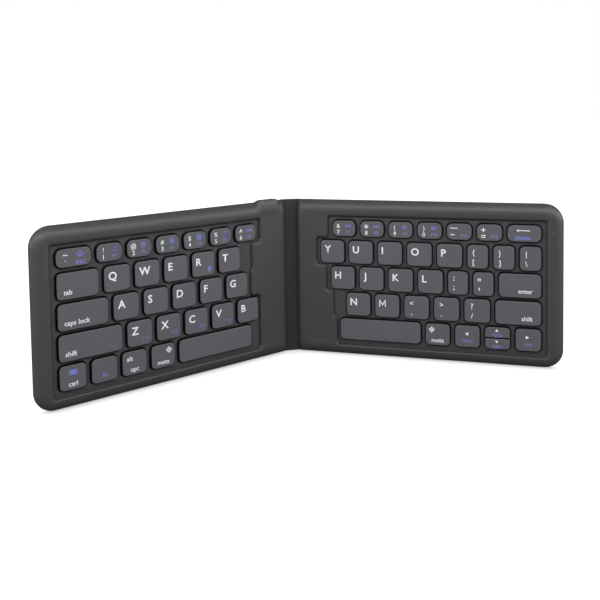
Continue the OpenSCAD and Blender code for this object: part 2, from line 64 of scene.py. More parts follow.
# How close counts as the same place, the least length to divide by, and a length beyond all others
TOUCH = 0.01
WELD = 1e-4
FINE_WELD = 1e-5
TINY = 1e-6
FAR = 1e9

# Case sizes
OUTER_CORNER_R = 10.0
SPINE_CORNER_R = 0.6
SPINE_CORNER_GROWTH = 0.5
SPINE_EDGE_SHARE = 0.55
SPINE_DROP_SHARE = 0.4
SPINE_OVERHANG = 0.9
SPINE_BLEND = 7.0
SPINE_BLEND_FROM = 0.5
SIDE_BLEND_FROM = 2.0
BACK_EDGE_R = 1.0
WALL = 1.6
EDGE_DROP = 3.3
EDGE_RUN = 6.4
EDGE_POWER = 2.7
DISH_DEPTH = 0.15
LIP_R = 1.45
LIP_STEPS = 5
EDGE_STEPS = 10
BACK_EDGE_STEPS = 6
OUTLINE_STEP = 1.5
ARC_STEPS = 10
GRID_STEP = 2.5
GRID_EDGE_GAP = 0.8
GRID_LIP_GAP = 0.5
CASE_SHARP = 40
TRAY_WALL_FIT = 0.05
TRAY_FLOOR_LIMIT = 0.1

# Edge of the sunken key field
FIELD_STEP = 1.2
FIELD_CORNER_R = 1.5
FIELD_CORNER_SHARE = 0.45
FIELD_CORNER_STEPS = 4
FIELD_SLANT_RUN = 1
FIELD_SLANT_RISE = (0.2, 4)
FIELD_CLEARANCE = 1.7
FIELD_UPRIGHT = 3
FIELD_BESIDE = 2
FIELD_NEAR = 1.3
SHARPEST_CORNER = 0.5

# Boss of the charging socket
BOSS_FLAT = 8.4
BOSS_SPINE_FLAT = 12.6
BOSS_SHOULDER = 3.0
BOSS_SPINE_SHOULDER = 1.6
BOSS_RISE = 1.15
BOSS_SWELL = 0.45
BOSS_FILL = 0.6
BOSS_REACH = 8.0
BOSS_CREST = 1
SLOT_FIT = 0.12
SLOT_CUT = 5

# Key caps
LETTER_CAP_R = 2.3
DIGIT_CAP_R = 3.0
ARROW_SPLIT_R = 0.5
ARROW_WELL_GAP = 0.02
DIGIT_CAP_LIMIT = 10.0
CAP_EDGE = 0.4
CAP_RIM_SHARE = 1.3
# Below this share of the rounded edge, a cap's sides take the near-black finish of painted shade
CAP_FLANK_SHARE = 0.5
CAP_SKIRT = 1.0
CAP_ROOF = 0.8
CAP_ARC_STEPS = 8
CAP_EDGE_STEPS = 5
CAP_WELD = 0.001
CAP_SHARP = 50
CAP_GAP = 0.2
ROW_OVERLAP = 1

# Web between the caps
WELL_GAP = 0.68
DECK_T = 0.7
DECK_SINK = 0.45
DECK_REACH = 0.9
DECK_SHARP = 30
STEEP = 0.5

# Printed marks
SYMBOL_GROWTH = {"?": 1.15, "*": 1.7, "+": 1.5, "=": 1.5, "^": 1.4, "~": 1.3, '"': 1.5, "'": 1.5,
                 ":": 1.2, ";": 1.2}
PRINT_PROUD = 0.02
PRINT_DEPTH = 0.03
LETTER_H = 3.8
LETTER_X = 2.3
LETTER_Y = 3.1
SYMBOL_H = 2.2
PAIR_H = SYMBOL_H * 1.2
WORD_H = 2.35
WORD_LEFT = 3.2
WORD_RIGHT = 4.4
WORD_UP = 2.4
BLUE_H = 1.7
ESC_H = 2.7
ARROW_H = 2
SMALL_ARROW_H = 1.7
ARROW_WORD_H = 1.65
ICON_H = 3.0
CHANNEL_H = ICON_H * 0.75
FINE_LINE = 0.14
RING_SIDES = 16
GLYPH_DEPTH = 0.01
GLYPH_CURVE_STEPS = 3

# How much bolder than the plain type each kind of mark is, in units of the type's own size
LETTER_WEIGHT = 0.022
CHANNEL_WEIGHT = 0.02
WORD_WEIGHT = 0.012
WHITE_WEIGHT = 0.01
BLUE_WEIGHT = 0.005

# Surfaces, floor and surroundings
AO_SAMPLES = 8
GRAIN_DETAIL = 3.0
FLOOR_SIDE = 6
FLOOR_GLOW = 0.75
FLOOR_STRENGTH = 1.75
FLOOR_LEVEL = 0.22
FLOOR_SHADE = 0.8
FLOOR_SHADE_REACH = 0.014
WORLD_LEVEL = 0.22

# Viewpoint: lengths in pixels of the picture, angles in degrees and distances in millimetres
IMAGE_SIDE = 600
CAMERA_FOCAL = 784.4
CAMERA_AXIS_Y = 144.4
CAMERA_YAW = 11.21
CAMERA_PITCH = 3.33
CAMERA_ROLL = -0.87
CAMERA_ASIDE = -81.7
CAMERA_AWAY = 443.4
CAMERA_ABOVE = 69.5
SENSOR_WIDTH = 36


# Frame of each half
class Half:
    """One half of the keyboard, with the matrix from its own flat millimetres to the shared frame."""

    def __init__(self, name):
        self.name = name
        self.body = name + "_half"
        self.sign = -1 if name == "left" else 1
        joint = next(j for j in frame["joints"] if j["name"] == name + "_fold")
        turn = math.radians(joint["range_deg"][1])
        right = Vector((math.cos(turn), -self.sign * math.sin(turn), 0))
        out = Vector((-self.sign * math.sin(turn), -math.cos(turn), 0))
        crease = Vector((joint["pos_m"][0], joint["pos_m"][1], 0))
        turned = Matrix((right, Vector((0, 0, 1)), out)).transposed().to_4x4()
        self.matrix = Matrix.Translation(crease) @ turned @ Matrix.Scale(MM, 4)
        self.inverse = self.matrix.inverted()
        back = self.points(name + "_back_cover")
        deck = self.points(name + "_key_deck")
        self.spine_x = np.abs(back[:, 0]).min()
        self.outer_x = np.abs(back[:, 0]).max()
        self.height = back[:, 1].max()
        self.back_z = back[:, 2].min()
        self.parting_z = back[:, 2].max()
        self.deck_z = deck[:, 2].max()

    def points(self, node):
        """Corners of a CAD node in this half's millimetres, one row for each."""
        mesh = frame["nodes"][node].data
        co = np.empty(len(mesh.vertices) * 3)
        mesh.vertices.foreach_get("co", co)
        turn = np.array(self.inverse)
        return co.reshape(-1, 3) @ turn[:3, :3].T + turn[:3, 3]

    def place(self, mesh):
        """The mesh moved from this half's millimetres into the shared frame."""
        mesh.transform(self.matrix)
        return mesh


LEFT = Half("left")
RIGHT = Half("right")
FRONT_Z = RIGHT.points("right_front_frame")[:, 2].max()


# Node trees
def operator(operation, turned=False):
    """A method that makes a math node of two values, the other one first where turned."""
    def method(self, other):
        values = {0: other, 1: self} if turned else {0: self, 1: other}
        return self.net.add("ShaderNodeMath", values, operation=operation)
    return method


class Wire:
    """An output socket that takes part in Python expressions."""

    def __init__(self, net, node, socket):
        self.net = net
        self.node = node
        self.socket = socket

    def out(self, name):
        return Wire(self.net, self.node, self.node.outputs[name])

    def colour(self):
        """The colour result of a node that has one result for each kind of value."""
        return Wire(self.net, self.node, next(s for s in self.node.outputs if s.enabled and s.type == "RGBA"))

    __add__ = operator("ADD")
    __sub__ = operator("SUBTRACT")
    __rsub__ = operator("SUBTRACT", turned=True)
    __mul__ = operator("MULTIPLY")
    __rmul__ = operator("MULTIPLY", turned=True)
    __truediv__ = operator("DIVIDE")


class Net:
    """A node tree, shader or geometry, that makes any node in one call."""

    def __init__(self, tree):
        self.tree = tree

    def add(self, kind, sockets=None, **settings):
        node = self.tree.nodes.new(kind)
        for name, value in settings.items():
            setattr(node, name, value)
        for name, value in (sockets or {}).items():
            if isinstance(value, Wire):
                self.join(value, node.inputs[name])
            else:
                node.inputs[name].default_value = value
        return Wire(self, node, next((s for s in node.outputs if s.enabled), None))

    def join(self, wire, socket):
        self.tree.links.new(wire.socket, socket)


# Colours
def linear(red, green, blue):
    """A colour given in display values from 0 to 255, as the shader's linear colour."""
    def channel(value):
        value /= 255
        return value / 12.92 if value <= 0.04045 else ((value + 0.055) / 1.055) ** 2.4
    return (channel(red), channel(green), channel(blue), 1.0)


def shaded(colour, factor):
    return tuple(min(c * factor, 1.0) for c in colour[:3]) + (1.0,)


# Materials
class Finish:
    """A procedural surface: a base colour that drifts, a grain in the bump and a roughness that follows."""

    def __init__(self, name, colour, roughness, metallic=0.0, specular=0.5):
        self.material = bpy.data.materials.new(name)
        self.material.use_nodes = True
        self.net = Net(self.material.node_tree)
        self.inputs = self.net.tree.nodes["Principled BSDF"].inputs
        self.colour = colour
        self.roughness = roughness
        self.inputs["Base Color"].default_value = colour
        self.inputs["Roughness"].default_value = roughness
        self.inputs["Metallic"].default_value = metallic
        self.inputs["Specular IOR Level"].default_value = specular
        self.where = self.net.add("ShaderNodeTexCoord").out("Object")

    def noise(self, size_mm, detail=2.0, stretch=(1, 1, 1)):
        """Noise with features of about that size."""
        scaled = self.net.add("ShaderNodeMapping", {"Vector": self.where, "Scale": stretch})
        sockets = {"Vector": scaled, "Scale": 1.0 / (size_mm * MM), "Detail": detail}
        return self.net.add("ShaderNodeTexNoise", sockets)

    def mix(self, share, low, high):
        """Base colour between two colours, which are sockets 6 and 7 of a mix of colours."""
        mixed = self.net.add("ShaderNodeMix", {0: share, 6: low, 7: high}, data_type="RGBA")
        self.net.join(mixed.colour(), self.inputs["Base Color"])
        return self

    def drift(self, size_mm, darker, lighter):
        """Base colour that drifts between two shades."""
        return self.mix(self.noise(size_mm), shaded(self.colour, darker), shaded(self.colour, lighter))

    def shade(self, reach_mm, darkest):
        """Darkens the base colour where other surfaces stand close by: painted shade of recesses and gaps, from
        ambient occlusion.
        """
        near = self.net.add("ShaderNodeAmbientOcclusion", {"Distance": reach_mm * MM}, samples=AO_SAMPLES)
        colour = Wire(self.net, None, self.inputs["Base Color"].links[0].from_socket)
        return self.mix(near.out("AO"), shaded(self.colour, darkest), colour)

    def rough(self, size_mm, swing):
        """Roughness that swings around its middle value."""
        level = (self.noise(size_mm) - 0.5) * (2 * swing) + self.roughness
        self.net.join(level, self.inputs["Roughness"])
        return self

    def grain(self, size_mm, height_mm, strength, stretch=(1, 1, 1)):
        """Fine moulded texture."""
        height = self.noise(size_mm, GRAIN_DETAIL, stretch)
        bump = {"Strength": strength, "Distance": height_mm * MM, "Height": height}
        self.net.join(self.net.add("ShaderNodeBump", bump), self.inputs["Normal"])
        return self


SOFT_TOUCH = Finish("soft_touch_coating", linear(62, 62, 62), 0.47, specular=0.5)
SOFT_TOUCH.drift(14, 0.94, 1.06).rough(5, 0.05).grain(0.22, 0.012, 0.55)
# The deck's base colour carries painted shade near the caps and under the lip of the front
DECK_PLASTIC = Finish("spark_eroded_deck", linear(65, 65, 68), 0.6, specular=0.35)
DECK_PLASTIC.drift(9, 0.93, 1.06).shade(2.0, 0.42).rough(3, 0.05).grain(0.3, 0.02, 0.7)
CAP_PLASTIC = Finish("satin_cap_plastic", linear(90, 89, 94), 0.5, specular=0.42)
CAP_PLASTIC.drift(11, 0.95, 1.05).rough(4, 0.04).grain(0.18, 0.008, 0.5)
# Near-black finish for the sides of the caps and the walls of their wells: painted shade of the gaps, not a colour
# of the plastic
PAINTED_SHADE_FLANK = Finish("painted_shade_flank", linear(12, 12, 16), 0.6, specular=0.2)
PAINTED_SHADE_FLANK.drift(6, 0.85, 1.1).grain(0.18, 0.008, 0.4)
WHITE_PRINT = Finish("white_print", linear(236, 237, 240), 0.55, specular=0.3)
WHITE_PRINT.drift(0.8, 0.94, 1.02).grain(0.12, 0.004, 0.4)
BLUE_PRINT = Finish("blue_print", linear(122, 132, 208), 0.55, specular=0.3)
BLUE_PRINT.drift(0.8, 0.9, 1.06).grain(0.12, 0.004, 0.4)
# The band's darker colour is partly its own and partly painted shade of the crease between the halves
ELASTOMER = Finish("spine_elastomer", linear(46, 46, 47), 0.6, specular=0.4)
ELASTOMER.drift(12, 0.93, 1.06).rough(4, 0.04).grain(0.25, 0.015, 0.6)
FLEX_FILM = Finish("flex_film", linear(150, 92, 38), 0.35)
FLEX_FILM.drift(4, 0.85, 1.1).grain(0.5, 0.006, 0.4)
LINK_PLASTIC = Finish("link_plastic", linear(52, 52, 54), 0.5)
LINK_PLASTIC.drift(3, 0.9, 1.08).grain(0.2, 0.01, 0.4)
DOME_RUBBER = Finish("dome_rubber", linear(40, 40, 42), 0.55)
DOME_RUBBER.drift(3, 0.9, 1.08).grain(0.2, 0.01, 0.4)
STEEL_PLATE = Finish("rolled_steel", linear(150, 152, 156), 0.38, metallic=1.0)
STEEL_PLATE.drift(5, 0.9, 1.05).rough(2, 0.06).grain(0.4, 0.004, 0.5, stretch=(0.1, 1, 1))
NICKEL = Finish("nickel_plating", linear(186, 186, 188), 0.22, metallic=1.0)
NICKEL.drift(2, 0.93, 1.04).rough(1, 0.05).grain(0.3, 0.003, 0.4)
DARK_STEEL = Finish("blackened_steel", linear(70, 70, 72), 0.35, metallic=1.0)
DARK_STEEL.drift(2, 0.9, 1.05).grain(0.3, 0.003, 0.4)
BOARD_MASK = Finish("solder_mask", linear(24, 74, 48), 0.32)
BOARD_MASK.drift(3, 0.8, 1.15).grain(0.6, 0.01, 0.5)
POUCH_FOIL = Finish("pouch_foil", linear(178, 180, 184), 0.3, metallic=0.8)
POUCH_FOIL.drift(6, 0.92, 1.05).rough(2, 0.06).grain(1.2, 0.02, 0.5)
LIGHT_PIPE = Finish("light_pipe", linear(84, 86, 86), 0.3)
LIGHT_PIPE.drift(1, 0.9, 1.1).grain(0.2, 0.004, 0.3)

CAD_FINISHES = {
    "key_deck": DECK_PLASTIC,
    "scissor_links": LINK_PLASTIC,
    "dome_sheet": DOME_RUBBER,
    "support_plate": STEEL_PLATE,
    "magnets": NICKEL,
    "screws": NICKEL,
    "main_board": BOARD_MASK,
    "charging_socket": DARK_STEEL,
    "battery_cell": POUCH_FOIL,
    "status_led": LIGHT_PIPE,
    "spine_band": ELASTOMER,
    "spine_flex_cable": FLEX_FILM,
    "front_frame": SOFT_TOUCH,
    "back_cover": SOFT_TOUCH,
    "key": CAP_PLASTIC,
}


def dress_cad_nodes():
    for name, node in frame["nodes"].items():
        finish = next(f for part, f in CAD_FINISHES.items() if part in name)
        node.data.materials.clear()
        node.data.materials.append(finish.material)


# Mesh helpers
def linked(name, data):
    """A new object in the scene that shows a mesh, a curve, a lamp or a camera."""
    thing = bpy.data.objects.new(name, data)
    bpy.context.scene.collection.objects.link(thing)
    return thing


def piece(name, mesh, body, replaced=()):
    """A finished piece that rides on a body and stands for the named CAD nodes."""
    thing = linked(name, mesh)
    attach(thing, body)
    if replaced:
        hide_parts(*replaced)


def smooth(mesh, degrees):
    mesh.shade_smooth()
    mesh.set_sharp_from_angle(angle=math.radians(degrees))


def mesh_of(bm, name, materials, degrees=CASE_SHARP):
    bmesh.ops.remove_doubles(bm, verts=bm.verts, dist=WELD)
    bmesh.ops.recalc_face_normals(bm, faces=bm.faces)
    mesh = bpy.data.meshes.new(name)
    bm.to_mesh(mesh)
    bm.free()
    for finish in materials:
        mesh.materials.append(finish.material)
    smooth(mesh, degrees)
    return mesh


def applied(thing):
    """The plain mesh that an object's modifiers or its curve give; the object is removed."""
    depsgraph = bpy.context.evaluated_depsgraph_get()
    mesh = bpy.data.meshes.new_from_object(thing.evaluated_get(depsgraph))
    data = thing.data
    bpy.data.objects.remove(thing)
    if isinstance(data, bpy.types.Curve):
        bpy.data.curves.remove(data)
    return mesh


def smoothstep(value, low, high):
    share = np.clip((value - low) / (high - low), 0, 1)
    return share * share * (3 - 2 * share)


# Outline of a half
def arc(x, y, radius, start, sweep, steps):
    """Points of an arc around x, y; its angles are in degrees."""
    turns = np.radians(start + np.linspace(0, sweep, steps + 1))
    return np.array([x, y]) + radius * np.stack([np.cos(turns), np.sin(turns)], axis=1)


def case_outline(half, inset, overhang=0.0):
    """Rounded outline drawn in by inset, less beside the spine, where it may also lean over the band."""
    spine_r = SPINE_CORNER_R + SPINE_CORNER_GROWTH * inset
    outer_r = OUTER_CORNER_R - inset
    near = half.spine_x + SPINE_EDGE_SHARE * inset - overhang
    far = half.outer_x - inset
    top = half.height - inset
    arcs = [arc(*corner, 90, ARC_STEPS) for corner in (
        (far - outer_r, top - outer_r, outer_r, 0),
        (near + spine_r, top - spine_r, spine_r, 90),
        (near + spine_r, inset + spine_r, spine_r, 180),
        (far - outer_r, inset + outer_r, outer_r, 270))]
    width = half.outer_x - half.spine_x
    points = []
    for side, corner, following in zip((width, half.height) * 2, arcs, arcs[1:] + arcs[:1]):
        count = int(side / OUTLINE_STEP)
        run = following[0] - corner[-1]
        points += list(corner) + [corner[-1] + run * k / count for k in range(1, count)]
    outline = np.array(points)
    outline[:, 0] *= half.sign
    return outline


def outline_depth(half, points):
    """Distance of points inside the straight sides of a half."""
    x = np.abs(points[:, 0])
    y = points[:, 1]
    return np.minimum(np.minimum(x - half.spine_x, half.outer_x - x), np.minimum(y, half.height - y))


def triangle_corners(node):
    """Indices of the corners of a CAD node's triangles."""
    mesh = frame["nodes"][node].data
    mesh.calc_loop_triangles()
    return np.array([t.vertices[:] for t in mesh.loop_triangles])


def field_loop(half):
    """Edge of the sunken key field, read from the walls of the opening in the CAD front frame."""
    node = half.name + "_front_frame"
    corners = half.points(node)
    at_front = np.abs(corners[:, 2] - FRONT_Z) < TOUCH
    at_deck = np.abs(corners[:, 2] - half.deck_z) < TOUCH
    keys = [tuple(np.round(c[:2], 3)) for c in corners]
    neighbours = {}
    for face in triangle_corners(node):
        high = [v for v in face if at_front[v]]
        low = [v for v in face if at_deck[v]]
        if len(high) == 2 and len(low) == 1:
            a, b = keys[high[0]], keys[high[1]]
            neighbours.setdefault(a, set()).add(b)
            neighbours.setdefault(b, set()).add(a)
    loops = []
    left_over = set(neighbours)
    while left_over:
        first = left_over.pop()
        loop = [first]
        step = next(iter(neighbours[first] & left_over), None)
        while step is not None:
            left_over.discard(step)
            loop.append(step)
            step = next(iter(neighbours[step] & left_over), None)
        loops.append(np.array(loop))
    field = max(loops, key=lambda l: np.ptp(l[:, 0]) * np.ptp(l[:, 1]))
    area = np.sum(field[:, 0] * np.roll(field[:, 1], -1) - np.roll(field[:, 0], -1) * field[:, 1])
    field = cleared(half, squared(field if area > 0 else field[::-1]))
    return subdivided(rounded(field, FIELD_CORNER_R), FIELD_STEP)


def squared(loop):
    """The loop with its slanting steps between the key rows turned level."""
    level = loop.copy()
    least, most = FIELD_SLANT_RISE
    for k in range(len(loop)):
        after = (k + 1) % len(loop)
        run, rise = np.abs(loop[after] - loop[k])
        if run > FIELD_SLANT_RUN and least < rise < most:
            level[[k, after], 1] = (loop[k][1] + loop[after][1]) / 2
    return level


def cleared(half, loop):
    """The loop with its uprights beside the spine kept clear of the caps next to them."""
    moved = loop.copy()
    across, up = np.abs(loop[:, 0]), loop[:, 1]
    caps = [cap for node in key_nodes(half) for cap in split_caps(node, half)]
    for k in range(len(loop)):
        after = (k + 1) % len(loop)
        low, high = sorted((up[k], up[after]))
        upright = abs(across[k] - across[after]) < TOUCH and high - low > FIELD_UPRIGHT
        if not upright or across[k] > (half.spine_x + half.outer_x) / 2:
            continue
        beside = [min(abs(cap.left), abs(cap.right)) for cap in caps
                  if min(cap.high, high) - max(cap.low, low) > FIELD_BESIDE]
        shift = across[k] - (min(beside, default=FAR) - FIELD_CLEARANCE)
        if shift > 0:
            near = np.abs(across - across[k]) < FIELD_NEAR
            near &= (up > low - FIELD_NEAR) & (up < high + FIELD_NEAR)
            moved[near, 0] -= shift * half.sign
    return moved


def rounded(loop, radius):
    """The loop with its corners rounded."""
    points = []
    for before, corner, after in zip(np.roll(loop, 1, axis=0), loop, np.roll(loop, -1, axis=0)):
        back, ahead = before - corner, after - corner
        back_length, ahead_length = np.linalg.norm(back), np.linalg.norm(ahead)
        reach = min(radius, back_length * FIELD_CORNER_SHARE, ahead_length * FIELD_CORNER_SHARE)
        start = corner + back / back_length * reach
        end = corner + ahead / ahead_length * reach
        for share in np.linspace(0, 1, FIELD_CORNER_STEPS + 1):
            rest = 1 - share
            points.append(rest ** 2 * start + 2 * share * rest * corner + share ** 2 * end)
    return np.array(points)


def sides(loop):
    """The two ends of each side of a closed loop."""
    return zip(loop, np.roll(loop, -1, axis=0))


def subdivided(loop, step):
    points = []
    for a, b in sides(loop):
        count = max(1, int(round(np.linalg.norm(b - a) / step)))
        points += [a + (b - a) * k / count for k in range(count)]
    return np.array(points)


def grown(loop, distance):
    """A counter-clockwise loop moved outwards by a distance."""
    before = loop - np.roll(loop, 1, axis=0)
    after = np.roll(loop, -1, axis=0) - loop
    before /= np.linalg.norm(before, axis=1)[:, None]
    after /= np.linalg.norm(after, axis=1)[:, None]
    normal = np.stack([before[:, 1] + after[:, 1], -before[:, 0] - after[:, 0]], axis=1)
    normal /= np.maximum(np.linalg.norm(normal, axis=1), TINY)[:, None]
    spread = normal[:, 0] * after[:, 1] - normal[:, 1] * after[:, 0]
    return loop + normal * (distance / np.maximum(spread, SHARPEST_CORNER))[:, None]


def loop_distance(points, loop):
    """Distance from each point to a closed loop."""
    nearest = np.full(len(points), FAR)
    for a, b in sides(loop):
        edge = b - a
        share = np.clip(((points - a) @ edge) / max(edge @ edge, TINY ** 2), 0, 1)
        nearest = np.minimum(nearest, np.linalg.norm(points - a - share[:, None] * edge, axis=1))
    return nearest


def inside(points, loop):
    """Whether each point lies inside a closed loop."""
    odd = np.zeros(len(points), bool)
    for a, b in sides(loop):
        if a[1] == b[1]:
            continue
        crosses = (a[1] > points[:, 1]) != (b[1] > points[:, 1])
        at_x = a[0] + (points[:, 1] - a[1]) * (b[0] - a[0]) / (b[1] - a[1])
        odd ^= crosses & (points[:, 0] < at_x)
    return odd


# Front of the case
def edge_drop(half, ring, inset):
    """How far the outer slope of the rim lies below the front plane, less beside the spine."""
    from_side = np.minimum(ring[:, 1], half.height - ring[:, 1])
    beside = 1 - smoothstep(np.abs(ring[:, 0]) - half.spine_x, SPINE_BLEND_FROM, SPINE_BLEND)
    beside *= smoothstep(from_side, SIDE_BLEND_FROM, SPINE_BLEND)
    share = 1 - (1 - SPINE_DROP_SHARE) * beside
    return EDGE_DROP * share * (1 - inset / EDGE_RUN) ** EDGE_POWER


def ring_edges(rings):
    """Pairs of neighbouring points when the rings stand one after another in a list."""
    edges = []
    start = 0
    for ring in rings:
        count = len(ring)
        edges += [(start + k, start + (k + 1) % count) for k in range(count)]
        start += count
    return edges


def rim_points(half, field):
    """Points of the rim's surface with their heights, and the edges of its rings."""
    plane = FRONT_Z - DISH_DEPTH
    rings = []
    for inset in np.linspace(0, EDGE_RUN, EDGE_STEPS + 1):
        ring = case_outline(half, inset, SPINE_OVERHANG)
        rings.append((ring, FRONT_Z - edge_drop(half, ring, inset)))
    for turn in np.radians(np.linspace(0, 90, LIP_STEPS + 1)):
        rings.append((grown(field, LIP_R * (1 - math.cos(turn))), plane - LIP_R * (1 - math.sin(turn))))
    edges = ring_edges([ring for ring, _ in rings])
    across = np.arange(half.spine_x, half.outer_x, GRID_STEP) * half.sign
    grid = np.stack(np.meshgrid(across, np.arange(0, half.height, GRID_STEP)), axis=-1).reshape(-1, 2)
    clear = outline_depth(half, grid) > EDGE_RUN + GRID_EDGE_GAP
    clear &= (loop_distance(grid, field) > LIP_R + GRID_LIP_GAP) & ~inside(grid, field)
    rings.append((grid[clear], plane))
    heights = np.concatenate([np.broadcast_to(height, len(ring)) for ring, height in rings])
    return np.concatenate([ring for ring, _ in rings]), heights, edges


def triangulated(points, edges, tolerance):
    """Spots and triangles that fill outlines, the triangles' middles and the points behind each spot."""
    found, _, triangles, origins, _, _ = delaunay_2d_cdt([Vector(p) for p in points], edges, [], 0, tolerance)
    spots = np.array([(v.x, v.y) for v in found])
    middles = np.array([spots[list(t)].mean(axis=0) for t in triangles])
    return spots, triangles, middles, origins


def filled(points, heights, edges, keep):
    """A surface over the points; keep says which triangles stay, by their middles."""
    spots, triangles, middles, origins = triangulated(points, edges, WELD)
    bm = bmesh.new()
    verts = []
    for (x, y), origin in zip(spots, origins):
        source = origin[0] if origin else np.linalg.norm(points - (x, y), axis=1).argmin()
        verts.append(bm.verts.new((x, y, heights[source])))
    for triangle, kept in zip(triangles, keep(middles)):
        if kept:
            bm.faces.new([verts[k] for k in triangle])
    bmesh.ops.delete(bm, geom=[v for v in bm.verts if not v.link_faces], context="VERTS")
    return bm


def boss_bump(half, x):
    """Share of the socket's boss across the top edge, from 0 to 1."""
    socket = half.points("charging_socket")
    middle = (socket[:, 0].min() + socket[:, 0].max()) / 2
    outward = (x - middle) * half.sign
    outer = smoothstep(outward, BOSS_FLAT / 2, BOSS_FLAT / 2 + BOSS_SHOULDER)
    inner = smoothstep(-outward, BOSS_SPINE_FLAT / 2, BOSS_SPINE_FLAT / 2 + BOSS_SPINE_SHOULDER)
    return 1 - outer - inner


def boss_lift(half, x):
    """How far the boss raises the top edge there."""
    return float(BOSS_RISE * boss_bump(half, x)) if half is LEFT else 0.0


def raise_boss(half, bm):
    points = np.array([v.co for v in bm.verts])
    up = smoothstep(points[:, 1], half.height - BOSS_REACH, half.height - BOSS_CREST)
    share = boss_bump(half, points[:, 0]) * up
    low = FRONT_Z - EDGE_DROP
    for vert, amount, height in zip(bm.verts, share, points[:, 2]):
        vert.co.y += BOSS_RISE * amount
        if height > low - TOUCH:
            vert.co.z += amount * (BOSS_FILL * (FRONT_Z - height) + BOSS_SWELL)


def front_shell(half):
    """The rim with its outer wall and the underside that the deck is screwed to."""
    field = field_loop(half)
    points, heights, edges = rim_points(half, field)
    bm = filled(points, heights, edges, lambda middles: ~inside(middles, field))
    rim = [e for e in bm.edges if e.is_boundary]
    outline = case_outline(half, 0, SPINE_OVERHANG)
    outer = [e for e in rim if all(is_on(v, outline) for v in e.verts)]
    inner = [e for e in rim if e not in set(outer)]
    if half is LEFT:
        raise_boss(half, bm)
    parting = extruded(bm, outer, half.parting_z)
    to_outline(half, parting, 0)
    ledge = extruded(bm, parting, half.parting_z)
    to_outline(half, ledge, WALL)
    under = extruded(bm, ledge, half.deck_z - 2 * DECK_T)
    lip = extruded(bm, inner, half.deck_z - 2 * DECK_T)
    close_under(bm, half, under + lip, field)
    return bm


def close_under(bm, half, edges, field):
    """Fills the flat underside between the outer wall and the edge of the key field."""
    verts = list(dict.fromkeys(v for e in edges for v in e.verts))
    place = {v: k for k, v in enumerate(verts)}
    pairs = [(place[e.verts[0]], place[e.verts[1]]) for e in edges]
    _, triangles, middles, origins = triangulated([v.co.xy for v in verts], pairs, FINE_WELD)
    kept = inside(middles, case_outline(half, WALL)) & ~inside(middles, field)
    for triangle in np.array(triangles)[kept]:
        bm.faces.new([verts[origins[k][0]] for k in triangle])


def extruded(bm, edges, height):
    """Edges drawn out into a wall whose far side lies at a height; gives the edges of that side."""
    made = bmesh.ops.extrude_edge_only(bm, edges=edges)["geom"]
    for vert in (g for g in made if isinstance(g, bmesh.types.BMVert)):
        vert.co.z = height
    open_edges = [g for g in made if isinstance(g, bmesh.types.BMEdge) and g.is_boundary]
    return [e for e in open_edges if all(abs(v.co.z - height) < WELD for v in e.verts)]


def is_on(vert, outline):
    return np.linalg.norm(outline - vert.co.xy, axis=1).min() < TOUCH


def to_outline(half, edges, inset):
    """Moves the corners of the edges to the outline drawn in by inset, keeping the boss's rise."""
    full = case_outline(half, 0, SPINE_OVERHANG)
    drawn = case_outline(half, inset)
    for vert in dict.fromkeys(v for e in edges for v in e.verts):
        lift = boss_lift(half, vert.co.x) if vert.co.y > half.height - TOUCH else 0.0
        index = np.linalg.norm(full - (vert.co.x, vert.co.y - lift), axis=1).argmin()
        if inset or np.abs(full[index] - drawn[index]).max() > TOUCH:
            vert.co.x = drawn[index][0]
            vert.co.y = drawn[index][1] + (lift if not inset else 0.0)


def stadium_cutter(half):
    """Bar with round ends as wide and as high as the socket's shell, for the opening in the boss."""
    socket = half.points("charging_socket")
    low = socket.min(axis=0) - SLOT_FIT
    high = socket.max(axis=0) + SLOT_FIT
    radius = (high[2] - low[2]) / 2
    middle_z = (high[2] + low[2]) / 2
    ends = [arc(end_x, middle_z, radius, start, 180, 2 * ARC_STEPS)
            for end_x, start in ((high[0] - radius, -90), (low[0] + radius, 90))]
    bm = bmesh.new()
    for y in (low[1], high[1] + SLOT_CUT):
        bm.faces.new([bm.verts.new((x, y, z)) for x, z in np.concatenate(ends)])
    bmesh.ops.bridge_loops(bm, edges=[e for face in bm.faces for e in face.edges])
    return bm


def cut(mesh, cutter_mesh):
    """The mesh with the cutter taken away."""
    thing = linked("cut", mesh)
    cutter = linked("cutter", cutter_mesh)
    modifier = thing.modifiers.new("opening", "BOOLEAN")
    modifier.operation = "DIFFERENCE"
    modifier.solver = "EXACT"
    modifier.object = cutter
    made = applied(thing)
    bpy.data.objects.remove(cutter)
    return made


def make_front(half):
    mesh = mesh_of(front_shell(half), half.name + "_front_shell", [SOFT_TOUCH])
    if half is LEFT:
        mesh = cut(mesh, mesh_of(stadium_cutter(half), "socket_opening", [SOFT_TOUCH]))
        smooth(mesh, CASE_SHARP)
    shell = linked(half.name + "_front_shell", half.place(mesh))
    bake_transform(shell)
    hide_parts(half.name + "_front_frame")


# Back of the case
def loft(bm, rings):
    """Closed skin through rings of the same number of points, with a flat face at each end."""
    rows = [[bm.verts.new(p) for p in ring] for ring in rings]
    for low, high in zip(rows, rows[1:]):
        for k in range(len(low)):
            after = (k + 1) % len(low)
            bm.faces.new((low[k], low[after], high[after], high[k]))
    bm.faces.new(rows[0])
    bm.faces.new(rows[-1])


